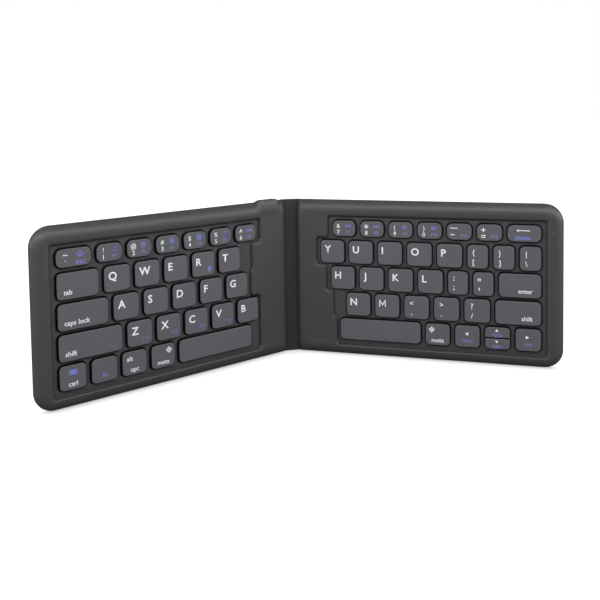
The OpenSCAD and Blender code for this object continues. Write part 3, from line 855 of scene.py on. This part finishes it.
def make_back(half):
    """The tray behind: its outer skin with a rounded edge, then its inner wall and floor."""
    cover = half.points(half.name + "_back_cover")
    inner = outline_depth(half, cover[:, :2]) > WALL - TRAY_WALL_FIT
    floor_z = cover[inner & (cover[:, 2] > half.back_z + TRAY_FLOOR_LIMIT)][:, 2].min()
    sections = []
    for turn in np.radians(np.linspace(90, 0, BACK_EDGE_STEPS + 1)):
        rise = BACK_EDGE_R * (1 - math.sin(turn))
        sections.append((BACK_EDGE_R * (1 - math.cos(turn)), half.back_z + rise))
    sections += [(0, half.parting_z), (WALL, half.parting_z), (WALL, floor_z)]
    bm = bmesh.new()
    loft(bm, [[(x, y, z) for x, y in case_outline(half, inset)] for inset, z in sections])
    mesh = mesh_of(bm, half.name + "_back_shell", [SOFT_TOUCH])
    piece(half.name + "_back_shell", half.place(mesh), half.body,
          [half.name + "_back_cover"])


# Key caps
class Cap:
    """One key cap: its node, its half, its middle and its size in the half's millimetres."""

    def __init__(self, node, half, corners):
        self.node = node
        self.half = half
        low, high = corners.min(axis=0), corners.max(axis=0)
        self.left, self.low, self.bottom_z = low
        self.right, self.high, self.top_z = high
        self.width = high[0] - low[0]
        self.height = high[1] - low[1]
        self.middle = (low + high) / 2


def split_caps(node, half):
    """The caps of a key node: one, or two that lie side by side or one above the other."""
    corners = half.points(node)
    for axis in (0, 1):
        spans = corners[triangle_corners(node)][:, :, axis]
        spans = spans[spans.min(axis=1).argsort()]
        reach = np.maximum.accumulate(spans.max(axis=1))
        gaps = spans.min(axis=1)[1:] - reach[:-1]
        if gaps.max() > CAP_GAP:
            border = reach[gaps.argmax()] + gaps.max() / 2
            before = corners[:, axis] < border
            return [Cap(node, half, corners[before]), Cap(node, half, corners[~before])]
    return [Cap(node, half, corners)]


def cap_tree():
    """Geometry nodes for a hollow cap: a filleted outline, a rounded upper edge and a skirt."""
    tree = bpy.data.node_groups.new("hollow_cap", "GeometryNodeTree")
    for name in ("Width", "Height", "Thickness", "Upper Radius", "Lower Radius", "Edge", "Skirt", "Roof"):
        tree.interface.new_socket(name, in_out="INPUT", socket_type="NodeSocketFloat")
    for name in ("Top", "Flank"):
        tree.interface.new_socket(name, in_out="INPUT", socket_type="NodeSocketMaterial")
    tree.interface.new_socket("Geometry", in_out="OUTPUT", socket_type="NodeSocketGeometry")
    net = Net(tree)
    given = net.add("NodeGroupInput")
    width, height, thickness = given.out("Width"), given.out("Height"), given.out("Thickness")
    edge, skirt, roof = given.out("Edge"), given.out("Skirt"), given.out("Roof")
    # Corners 0 and 1 are the upper ones; sockets 2 and 3 compare whole numbers
    corner = net.add("GeometryNodeInputIndex")
    is_lower = net.add("FunctionNodeCompare", {2: corner, 3: 1}, data_type="INT", operation="GREATER_THAN")
    radii = {0: is_lower, 1: given.out("Upper Radius"), 2: given.out("Lower Radius")}
    radius = net.add("GeometryNodeSwitch", radii, input_type="FLOAT")
    outline = net.add("GeometryNodeCurvePrimitiveQuadrilateral", {"Width": width, "Height": height})
    fillet = {"Curve": outline, "Count": CAP_ARC_STEPS, "Radius": radius}
    plate = net.add("GeometryNodeFillCurve", {
        "Curve": net.add("GeometryNodeFilletCurve", fillet, mode="POLY")}, mode="NGONS")
    position = net.add("GeometryNodeInputPosition")

    def drawn_in(shape, inset, inset_before):
        """The raised face scaled from one inset to the next."""
        across = (width - 2 * inset) / (width - 2 * inset_before)
        up = (height - 2 * inset) / (height - 2 * inset_before)
        factor = net.add("ShaderNodeCombineXYZ", {0: across, 1: up, 2: 1.0})
        moved = net.add("ShaderNodeVectorMath", {0: position, 1: factor}, operation="MULTIPLY")
        return net.add("GeometryNodeSetPosition", {
            "Geometry": shape, "Selection": shape.out("Top"), "Position": moved})

    def lifted(shape, rise, selected=None):
        """The selected faces drawn out along their normals; all faces where none are named."""
        sockets = {"Mesh": shape, "Offset Scale": rise, "Individual": False}
        if selected is not None:
            sockets["Selection"] = selected
        return net.add("GeometryNodeExtrudeMesh", sockets, mode="FACES")

    def painted(shape, finish, **selection):
        sockets = {"Geometry": shape, "Material": given.out(finish), **selection}
        return net.add("GeometryNodeSetMaterial", sockets)

    raised = lifted(plate, thickness - edge)
    solid = raised
    inset_before = 0.0
    height_before = 0.0
    for step in range(1, CAP_EDGE_STEPS + 1):
        turn = math.radians(90 * step / CAP_EDGE_STEPS)
        raised = lifted(solid, edge * (math.sin(turn) - height_before), raised.out("Top"))
        solid = drawn_in(raised, edge * (1 - math.cos(turn)), edge * inset_before if inset_before else 0.0)
        inset_before = 1 - math.cos(turn)
        height_before = math.sin(turn)
    raised = lifted(solid, 0.0, raised.out("Top"))
    solid = drawn_in(raised, edge * CAP_RIM_SHARE, edge)
    rim = lifted(net.add("GeometryNodeFlipFaces", {"Mesh": plate}), 0.0)
    pocket = lifted(drawn_in(rim, skirt, 0.0), roof - thickness, rim.out("Top"))
    joined = net.add("GeometryNodeJoinGeometry")
    for part in (solid, pocket):
        net.join(part, joined.node.inputs[0])
    merged = net.add("GeometryNodeMergeByDistance", {"Geometry": joined, "Distance": CAP_WELD})
    whole = net.add("GeometryNodeRealizeInstances", {"Geometry": merged})
    # Faces below the rounded upper edge take the Flank finish, which is painted shade on the cap's sides
    level = net.add("ShaderNodeSeparateXYZ", {0: position}).out("Z")
    is_flank = net.add("FunctionNodeCompare", {0: level, 1: thickness - edge * CAP_FLANK_SHARE},
                       data_type="FLOAT", operation="LESS_THAN")
    net.add("NodeGroupOutput", {0: painted(painted(whole, "Top"), "Flank", Selection=is_flank)})
    return tree


def set_inputs(modifier, values):
    """Sets the modifier's named inputs through their sockets' identifiers."""
    for item in modifier.node_group.interface.items_tree:
        if item.item_type == "SOCKET" and item.in_out == "INPUT":
            modifier[item.identifier] = values[item.name]


def cap_mesh(tree, cap):
    upper, lower = cap_radii(cap)
    thing = linked("cap", bpy.data.meshes.new("cap"))
    modifier = thing.modifiers.new("cap", "NODES")
    modifier.node_group = tree
    # The Flank finish is painted shade on the cap's sides
    set_inputs(modifier, {
        "Width": cap.width, "Height": cap.height, "Thickness": cap.top_z - cap.bottom_z,
        "Upper Radius": upper, "Lower Radius": lower, "Edge": CAP_EDGE, "Skirt": CAP_SKIRT,
        "Roof": CAP_ROOF, "Top": CAP_PLASTIC.material, "Flank": PAINTED_SHADE_FLANK.material})
    mesh = applied(thing)
    mesh.transform(Matrix.Translation((cap.middle[0], cap.middle[1], cap.bottom_z)))
    # The nodes leave the first material slot empty, so every face moves up by one
    for face in mesh.polygons:
        face.material_index -= 1
    return mesh


def cap_radii(cap):
    """Corner radii of a cap at its upper and at its lower side."""
    if cap.node == "key_up":
        return LETTER_CAP_R, ARROW_SPLIT_R
    if cap.node == "key_down":
        return ARROW_SPLIT_R, LETTER_CAP_R
    radius = DIGIT_CAP_R if cap.height < DIGIT_CAP_LIMIT else LETTER_CAP_R
    return radius, radius


def well_loop(cap):
    """Edge of the well around a cap."""
    upper, lower = (r + WELL_GAP for r in cap_radii(cap))
    left, right = cap.left - WELL_GAP, cap.right + WELL_GAP
    low, high = cap.low - WELL_GAP, cap.high + WELL_GAP
    if cap.node == "key_up":
        low = cap.low - ARROW_SPLIT_R / 2
    if cap.node == "key_down":
        high = cap.high + ARROW_SPLIT_R / 2 - ARROW_WELL_GAP
    return np.concatenate([arc(*corner, 90, CAP_ARC_STEPS) for corner in (
        (right - upper, high - upper, upper, 0),
        (left + upper, high - upper, upper, 90),
        (left + lower, low + lower, lower, 180),
        (right - lower, low + lower, lower, 270))])


def make_deck(half, caps):
    """The web between the caps, which fills the key field behind the lip of the front."""
    outer = grown(field_loop(half), DECK_REACH)
    wells = [well_loop(cap) for cap in caps]
    points = np.concatenate([outer] + wells)

    def keep(middles):
        kept = inside(middles, outer)
        for well in wells:
            kept &= ~inside(middles, well)
        return kept

    bm = filled(points, np.full(len(points), half.deck_z), ring_edges([outer] + wells), keep)
    bmesh.ops.solidify(bm, geom=bm.faces[:], thickness=DECK_T)
    bmesh.ops.translate(bm, verts=bm.verts, vec=(0, 0, -DECK_SINK))
    bm.normal_update()
    # Steep faces, the walls of the wells around the caps, take the near-black finish: painted shade of the gaps
    for face in bm.faces:
        face.material_index = 1 if abs(face.normal.z) < STEEP else 0
    mesh = mesh_of(bm, half.name + "_deck_web", [DECK_PLASTIC, PAINTED_SHADE_FLANK], DECK_SHARP)
    piece(half.name + "_deck_web", half.place(mesh), half.body, [half.name + "_key_deck"])


def make_caps(tree, node, caps):
    bm = bmesh.new()
    for cap in caps:
        bm.from_mesh(cap_mesh(tree, cap))
    mesh = mesh_of(bm, node + "_caps", [CAP_PLASTIC, PAINTED_SHADE_FLANK], CAP_SHARP)
    piece(node + "_caps", caps[0].half.place(mesh), node, [node])


# Printed marks: each is drawn in millimetres from the cap's upper left corner, y down
GLYPHS = {}


def glyph(text, weight):
    """Corners and faces of a word at a capital height of 1, standing on its baseline from x = 0."""
    if (text, weight) not in GLYPHS:
        curve = bpy.data.curves.new("word", "FONT")
        curve.body = text
        curve.offset = weight
        curve.extrude = GLYPH_DEPTH
        curve.resolution_u = GLYPH_CURVE_STEPS
        mesh = applied(linked("word", curve))
        co = np.array([v.co[:] for v in mesh.vertices])
        faces = [tuple(p.vertices) for p in mesh.polygons]
        GLYPHS[text, weight] = (co, faces)
        bpy.data.meshes.remove(mesh)
    return GLYPHS[text, weight]


CAPITAL = np.ptp(glyph("H", 0.0)[0][:, 1])


class Print:
    """Marks of one colour on the caps of one key node."""

    def __init__(self):
        self.bm = bmesh.new()

    def add(self, corners, faces):
        made = [self.bm.verts.new(c) for c in corners]
        for face in faces:
            try:
                self.bm.faces.new([made[k] for k in face])
            except ValueError:
                continue

    def word(self, cap, text, x, y, size, align, weight):
        """Text whose baseline lies y below the cap's upper edge; align says what x is."""
        co, faces = glyph(text, weight)
        scale = size * SYMBOL_GROWTH.get(text, 1.0) / CAPITAL
        low, high = co[:, 0].min() * scale, co[:, 0].max() * scale
        start = {"left": x - low, "middle": x - (low + high) / 2, "right": x - high}[align]
        corners = np.empty_like(co)
        corners[:, 0] = cap.left + start + co[:, 0] * scale
        lift = size / 2 - co[:, 1].mean() * scale if text in SYMBOL_GROWTH else 0.0
        corners[:, 1] = cap.high - y + co[:, 1] * scale + lift
        corners[:, 2] = np.where(co[:, 2] > 0, cap.top_z + PRINT_PROUD, cap.top_z - PRINT_DEPTH)
        self.add(corners, faces)

    def shape(self, cap, points, x, y, size):
        """Filled polygon given in shares of size, around the middle x, y."""
        ring = [(cap.left + x + px * size, cap.high - y + py * size) for px, py in points]
        count = len(ring)
        corners = [(a, b, cap.top_z + PRINT_PROUD) for a, b in ring]
        corners += [(a, b, cap.top_z - PRINT_DEPTH) for a, b in ring]
        faces = [tuple(range(count)), tuple(range(2 * count - 1, count - 1, -1))]
        faces += [(k, (k + 1) % count, count + (k + 1) % count, count + k) for k in range(count)]
        self.add(corners, faces)

    def strokes(self, cap, parts, x, y, size):
        """An icon of lines and filled shapes, in shares of size around the middle x, y."""
        for solid, points in parts:
            if solid:
                self.shape(cap, points, x, y, size)
                continue
            for a, b in zip(points, points[1:]):
                self.shape(cap, line_quad(a, b, FINE_LINE), x, y, size)


def line_quad(a, b, thickness):
    """Corners of a straight stroke with square ends."""
    a, b = np.array(a, float), np.array(b, float)
    along = (b - a) / max(np.linalg.norm(b - a), TINY) * thickness / 2
    across = np.array([-along[1], along[0]])
    return [a - along - across, b + along - across, b + along + across, a - along + across]


# Parts of icons, with x to the right and y up in hundredths of the icon's size
def line(*numbers, solid=False):
    """A stroke through points given as x, y, x, y."""
    return solid, [(x / 100, y / 100) for x, y in zip(numbers[::2], numbers[1::2])]


def fill(*numbers):
    return line(*numbers, solid=True)


def box(x0, y0, x1, y1):
    return line(x0, y0, x1, y0, x1, y1, x0, y1, x0, y0)


def ring(x, y, radius):
    turns = np.linspace(0, 2 * math.pi, RING_SIDES + 1)
    return line(*(v for t in turns for v in (x + radius * math.cos(t), y + radius * math.sin(t))))


LOUDSPEAKER = [line(-50, 12, -30, 12, -2, 36, -2, -36, -30, -12, -50, -12, -50, 12), line(16, 0, 46, 0)]
ICONS = {
    "home": [line(-50, 0, 0, 45, 50, 0), line(-33, 5, -33, -40, 33, -40, 33, 5), line(0, -38, 0, -10)],
    "search": [ring(-8, 8, 30), line(14, -16, 42, -44)],
    "select": [box(-42, -35, 20, 40), fill(0, 15, 50, -20, 5, -40), line(-30, 15, 5, 15)],
    "copy": [box(-40, -15, 15, 42), box(-15, -42, 40, 15)],
    "paste": [box(-36, -42, 36, 36), line(-15, 42, 15, 42), line(-20, 8, 20, 8), line(-20, -16, 20, -16)],
    "cut": [ring(-22, -28, 16), ring(22, -28, 16), line(-14, -12, 20, 45), line(14, -12, -20, 45)],
    "back": [fill(50, 25, 5, 0, 50, -25), fill(5, 25, -40, 0, 5, -25), line(-48, 22, -48, -22)],
    "play": [fill(-48, 26, 0, 0, -48, -26), line(16, 22, 16, -22), line(40, 22, 40, -22)],
    "next": [fill(-50, 25, -5, 0, -50, -25), fill(-5, 25, 40, 0, -5, -25), line(48, 22, 48, -22)],
    "quieter": LOUDSPEAKER,
    "louder": LOUDSPEAKER + [line(31, 15, 31, -15)],
    "keyboard": [box(-62, -30, 62, 34), line(-42, 16, 42, 16), line(-42, 0, 42, 0), line(-30, -16, 30, -16)],
    "diamond": [line(0, 50, 50, 0, 0, -50, -50, 0, 0, 50), line(0, 22, 22, 0, 0, -22, -22, 0, 0, 22)],
    "channel": [ring(0, 0, 36)],
    "page": [box(-22, -42, 22, 42), line(-10, 18, 10, 18), line(-10, -2, 10, -2), line(-10, -22, 10, -22)],
    "left": [fill(45, 50, -45, 0, 45, -50)],
    "right": [fill(-45, 50, 45, 0, -45, -50)],
    "up": [fill(-50, -40, 50, -40, 0, 45)],
    "down": [fill(-50, 40, 0, -45, 50, 40)],
    "M": [line(-42, -45, -40, 43, 0, -25, 40, 43, 42, -45)],
    "dashes": [line(-62, 72, 62, 72), line(-55, -50, 10, -50)],
    "long_arrow": [fill(-115, 0, -75, 22, -75, -22), line(-80, 0, 115, 0)],
}

# Middles of marks, as shares of the cap's width from the left and of its height from above
SYMBOL = (0.26, 0.34)
DIGIT = (0.26, 0.73)
DIGIT_ICON = (0.68, 0.33)
BLUE_WORD = (0.69, 0.73)
PAGE = (0.76, 0.72)
CHANNEL_RING = (0.64, 0.73)
CHANNEL_NUMBER = (0.8, 0.73)
PAIR_UPPER = (0.3, 0.32)
PAIR_LOWER = (0.3, 0.72)
DASHES = (0.28, 0.52)
ERASE_ARROW = (0.46, 0.32)
ERASE_WORD = (0.46, 0.74)
ARROW = (0.47, 0.38)
ARROW_WORD = (0.5, 0.7)
SMALL_ARROW = (0.47, 0.3)
SMALL_ARROW_WORD = (0.5, 0.74)
LOW_WORD = (0.5, 0.76)
FN_WORD = (0.5, 0.7)
ALT_WORD = (0.3, 0.3)
KEYBOARD_ICON = (0.5, 0.3)
LEFT_DIAMOND = (0.75, 0.28)
RIGHT_DIAMOND = (0.25, 0.28)

WHITE = 0
BLUE = 1


# Marks: each draws itself on a cap with that cap's white and blue prints
def word(ink, text, place, size, weight):
    def draw(cap, prints):
        x, y = cap.width * place[0], cap.height * place[1] + size / 2
        prints[ink].word(cap, text, x, y, size, "middle", weight)
    return draw


def white(text, place, size=WORD_H):
    return word(WHITE, text, place, size, WHITE_WEIGHT)


def blue(text, place, size=WORD_H):
    return word(BLUE, text, place, size, BLUE_WEIGHT)


def icon(ink, name, place, size=ICON_H):
    def draw(cap, prints):
        prints[ink].strokes(cap, ICONS[name], cap.width * place[0], cap.height * place[1], size)
    return draw


# Legends of each kind of key, as lists of marks
def letter(text, channel=""):
    """A capital near the upper left corner, and for some a small blue mark near the lower right one."""
    def capital(cap, prints):
        if text in ICONS:
            middle = LETTER_H / 2
            prints[WHITE].strokes(cap, ICONS[text], LETTER_X + middle, LETTER_Y + middle, LETTER_H)
        else:
            prints[WHITE].word(cap, text, LETTER_X, LETTER_Y + LETTER_H, LETTER_H, "left", LETTER_WEIGHT)
    if channel == "page":
        return [capital, icon(BLUE, "page", PAGE)]
    if channel:
        return [capital, icon(BLUE, "channel", CHANNEL_RING, CHANNEL_H),
                word(BLUE, channel, CHANNEL_NUMBER, BLUE_H, CHANNEL_WEIGHT)]
    return [capital]


def letters(text):
    return [letter(character) for character in text]


def digit(symbol, number, icon_name, blue_word):
    marks = [white(symbol, SYMBOL, SYMBOL_H), white(number, DIGIT, SYMBOL_H)]
    if icon_name:
        marks.append(icon(BLUE, icon_name, DIGIT_ICON))
    return marks + [blue(blue_word, BLUE_WORD, ESC_H if blue_word == "esc" else BLUE_H)]


def pair(upper, lower):
    return [white(upper, PAIR_UPPER, PAIR_H), white(lower, PAIR_LOWER, PAIR_H)]


def word_low(text, from_right=False):
    """A word near a lower corner of a wide cap."""
    def draw(cap, prints):
        x, align = (cap.width - WORD_RIGHT, "right") if from_right else (WORD_LEFT, "left")
        prints[WHITE].word(cap, text, x, cap.height - WORD_UP, WORD_H, align, WORD_WEIGHT)
    return [draw]


def arrow(name, text):
    if name in ("up", "down"):
        return [icon(WHITE, name, SMALL_ARROW, SMALL_ARROW_H), blue(text, SMALL_ARROW_WORD, ARROW_WORD_H)]
    return [icon(WHITE, name, ARROW, ARROW_H), blue(text, ARROW_WORD, ARROW_WORD_H)]


# Keys of each half, from the digit row down and from left to right
LEFT_LEGENDS = [
    [digit("~", "`", "home", "esc"), digit("!", "1", "search", "F1"), digit("@", "2", "select", "F2"),
     digit("#", "3", "copy", "F3"), digit("$", "4", "paste", "F4"), digit("%", "5", "cut", "F5"),
     digit("^", "6", "back", "F6")],
    [word_low("tab"), *letters("QWE"), letter("R", "page"), letter("T")],
    [word_low("caps lock"), *letters("ASDFG")],
    [word_low("shift"), letter("Z", "1"), letter("X", "2"), letter("C", "3"), letter("V", "4"), letter("B")],
    [[icon(BLUE, "keyboard", KEYBOARD_ICON), white("ctrl", LOW_WORD)], [blue("fn", FN_WORD)],
     [white("alt", ALT_WORD), white("opt", LOW_WORD)],
     [icon(WHITE, "diamond", LEFT_DIAMOND), white("meta", LOW_WORD)], []],
]
RIGHT_LEGENDS = [
    [digit("&", "7", "play", "F7"), digit("*", "8", "next", "F8"), digit("(", "9", "quieter", "F9"),
     digit(")", "0", "louder", "F10"), [icon(WHITE, "dashes", DASHES), blue("F11", BLUE_WORD, BLUE_H)],
     digit("+", "=", "", "F12"), [icon(WHITE, "long_arrow", ERASE_ARROW), blue("delete", ERASE_WORD)]],
    [*letters("YUIOP"), pair("{", "["), pair("}", "]"), pair("|", "\\")],
    [*letters("HJKL"), pair(":", ";"), pair('"', "'"), word_low("enter", True)],
    [*letters("NM"), pair("<", ","), pair(">", "."), pair("?", "/"), word_low("shift", True)],
    [[], [icon(WHITE, "diamond", RIGHT_DIAMOND), white("meta", LOW_WORD)], arrow("left", "Home"),
     arrow("up", "PgUp"), arrow("down", "PgDn"), arrow("right", "End")],
]


def in_rows(caps):
    """Caps grouped into rows from the top, each from left to right; the arrow pair goes up, then down."""
    rows = []
    for cap in sorted(caps, key=lambda c: -c.middle[1]):
        row = next((r for r in rows if cap.high > min(c.low for c in r) + ROW_OVERLAP), None)
        if row is None:
            rows.append([cap])
        else:
            row.append(cap)
    return [sorted(row, key=lambda c: (round(c.middle[0]), -c.middle[1])) for row in rows]


def make_keys(half, legends):
    tree = bpy.data.node_groups.get("hollow_cap") or cap_tree()
    nodes = key_nodes(half)
    caps = {node: split_caps(node, half) for node in nodes}
    prints = {node: (Print(), Print()) for node in nodes}
    every_cap = [cap for group in caps.values() for cap in group]
    make_deck(half, every_cap)
    for node in nodes:
        make_caps(tree, node, caps[node])
    for row, row_legends in zip(in_rows(every_cap), legends):
        for cap, marks in zip(row, row_legends):
            for draw in marks:
                draw(cap, prints[cap.node])
    for node in nodes:
        for part, finish, label in zip(prints[node], (WHITE_PRINT, BLUE_PRINT), ("white", "blue")):
            if part.bm.faces:
                mesh = mesh_of(part.bm, f"{node}_{label}_print", [finish])
                piece(f"{node}_{label}_print", half.place(mesh), node)


def key_nodes(half):
    bodies = frame["record"]["behaviour"]["bodies"]
    return [name for name in bodies if name.startswith("key") and in_half(half, name)]


def in_half(half, node):
    low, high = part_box(node)
    return (low.x + high.x) * half.sign > 0


# Floor, light and camera
def make_stage():
    bpy.ops.mesh.primitive_plane_add(size=FLOOR_SIDE)
    floor = bpy.context.object
    floor.name = "floor"
    material = bpy.data.materials.new("pale_floor")
    material.use_nodes = True
    net = Net(material.node_tree)
    net.tree.nodes.remove(net.tree.nodes["Principled BSDF"])
    seen = net.add("ShaderNodeLightPath").out("Is Camera Ray")
    matte = net.add("ShaderNodeBsdfDiffuse", {"Color": (FLOOR_LEVEL, FLOOR_LEVEL, FLOOR_LEVEL, 1)})
    # The floor's glow carries a painted contact shadow: darker where the keyboard stands close by, from ambient
    # occlusion
    open_sky = net.add("ShaderNodeAmbientOcclusion", {"Distance": FLOOR_SHADE_REACH}, samples=AO_SAMPLES)
    painted_shadow = 1 - (1 - open_sky.out("AO")) * FLOOR_SHADE
    glow = net.add("ShaderNodeEmission", {"Color": painted_shadow, "Strength": FLOOR_STRENGTH})
    mixed = net.add("ShaderNodeMixShader", {0: seen * FLOOR_GLOW, 1: matte, 2: glow})
    net.join(mixed, net.tree.nodes["Material Output"].inputs["Surface"])
    floor.data.materials.append(material)


def make_world():
    """White to the camera and dimmer to everything that it lights."""
    world = bpy.data.worlds.new("studio")
    bpy.context.scene.world = world
    world.use_nodes = True
    net = Net(world.node_tree)
    seen = net.add("ShaderNodeLightPath").out("Is Camera Ray")
    background = net.tree.nodes["Background"].inputs
    background["Color"].default_value = (1, 1, 1, 1)
    net.join(seen * (1 - WORLD_LEVEL) + WORLD_LEVEL, background["Strength"])


def make_light(name, place, target, size, power):
    lamp = bpy.data.lights.new(name, "AREA")
    lamp.shape = "RECTANGLE"
    lamp.size, lamp.size_y = size
    lamp.energy = power
    thing = linked(name, lamp)
    thing.location = place
    thing.rotation_mode = "QUATERNION"
    thing.rotation_quaternion = (Vector(target) - Vector(place)).to_track_quat("-Z", "Y")
    thing.visible_camera = False


def make_camera():
    """The photograph's viewpoint: nearly level, with the lens shifted so that uprights stay upright."""
    yaw, pitch, roll = (math.radians(angle) for angle in (CAMERA_YAW, CAMERA_PITCH, CAMERA_ROLL))
    level = Vector((math.cos(yaw), -math.sin(yaw), 0))
    ahead = Vector((math.sin(yaw), math.cos(yaw), 0))
    forward = math.cos(pitch) * ahead - math.sin(pitch) * Vector((0, 0, 1))
    upward = level.cross(forward)
    right = math.cos(roll) * level + math.sin(roll) * upward
    up = -math.sin(roll) * level + math.cos(roll) * upward
    camera = bpy.data.cameras.new("camera")
    camera.sensor_fit = "HORIZONTAL"
    camera.sensor_width = SENSOR_WIDTH
    camera.lens = CAMERA_FOCAL / IMAGE_SIDE * SENSOR_WIDTH
    camera.shift_y = (CAMERA_AXIS_Y - IMAGE_SIDE / 2) / IMAGE_SIDE
    thing = linked("camera", camera)
    matrix = Matrix((right, up, -forward)).transposed().to_4x4()
    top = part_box("keys_7_8")[1].z
    away = meeting_y() - CAMERA_AWAY * MM
    matrix.translation = Vector((CAMERA_ASIDE * MM, away, top + CAMERA_ABOVE * MM))
    thing.matrix_world = matrix
    bpy.context.scene.camera = thing


def meeting_y():
    """Where the planes of the cap tops of both halves meet, from front to back."""
    fold = next(j for j in frame["joints"] if j["name"] == "right_fold")
    turn = math.radians(fold["range_deg"][1])
    cap_top = RIGHT.points("keys_7_8")[:, 2].max() * MM
    return fold["pos_m"][1] + fold["pos_m"][0] * math.tan(turn) - cap_top / math.cos(turn)


# Place, aim, size in metres and power in watts of each lamp
LAMPS = {
    "key_light": ((0.0, -0.38, 0.39), (0, 0, 0.08), (1.0, 0.12), 3.0),
    "left_fill": ((-0.7, -0.3, 0.25), (0, 0, 0.06), (0.25, 0.3), 1.95),
    "right_fill": ((0.7, -0.3, 0.25), (0, 0, 0.06), (0.25, 0.3), 1.95),
}

dress_cad_nodes()
for half, legends in ((LEFT, LEFT_LEGENDS), (RIGHT, RIGHT_LEGENDS)):
    make_front(half)
    make_back(half)
    make_keys(half, legends)
make_stage()
make_world()
for lamp_name, lamp_values in LAMPS.items():
    make_light(lamp_name, *lamp_values)
make_camera()
bpy.context.scene.view_settings.view_transform = "Standard"
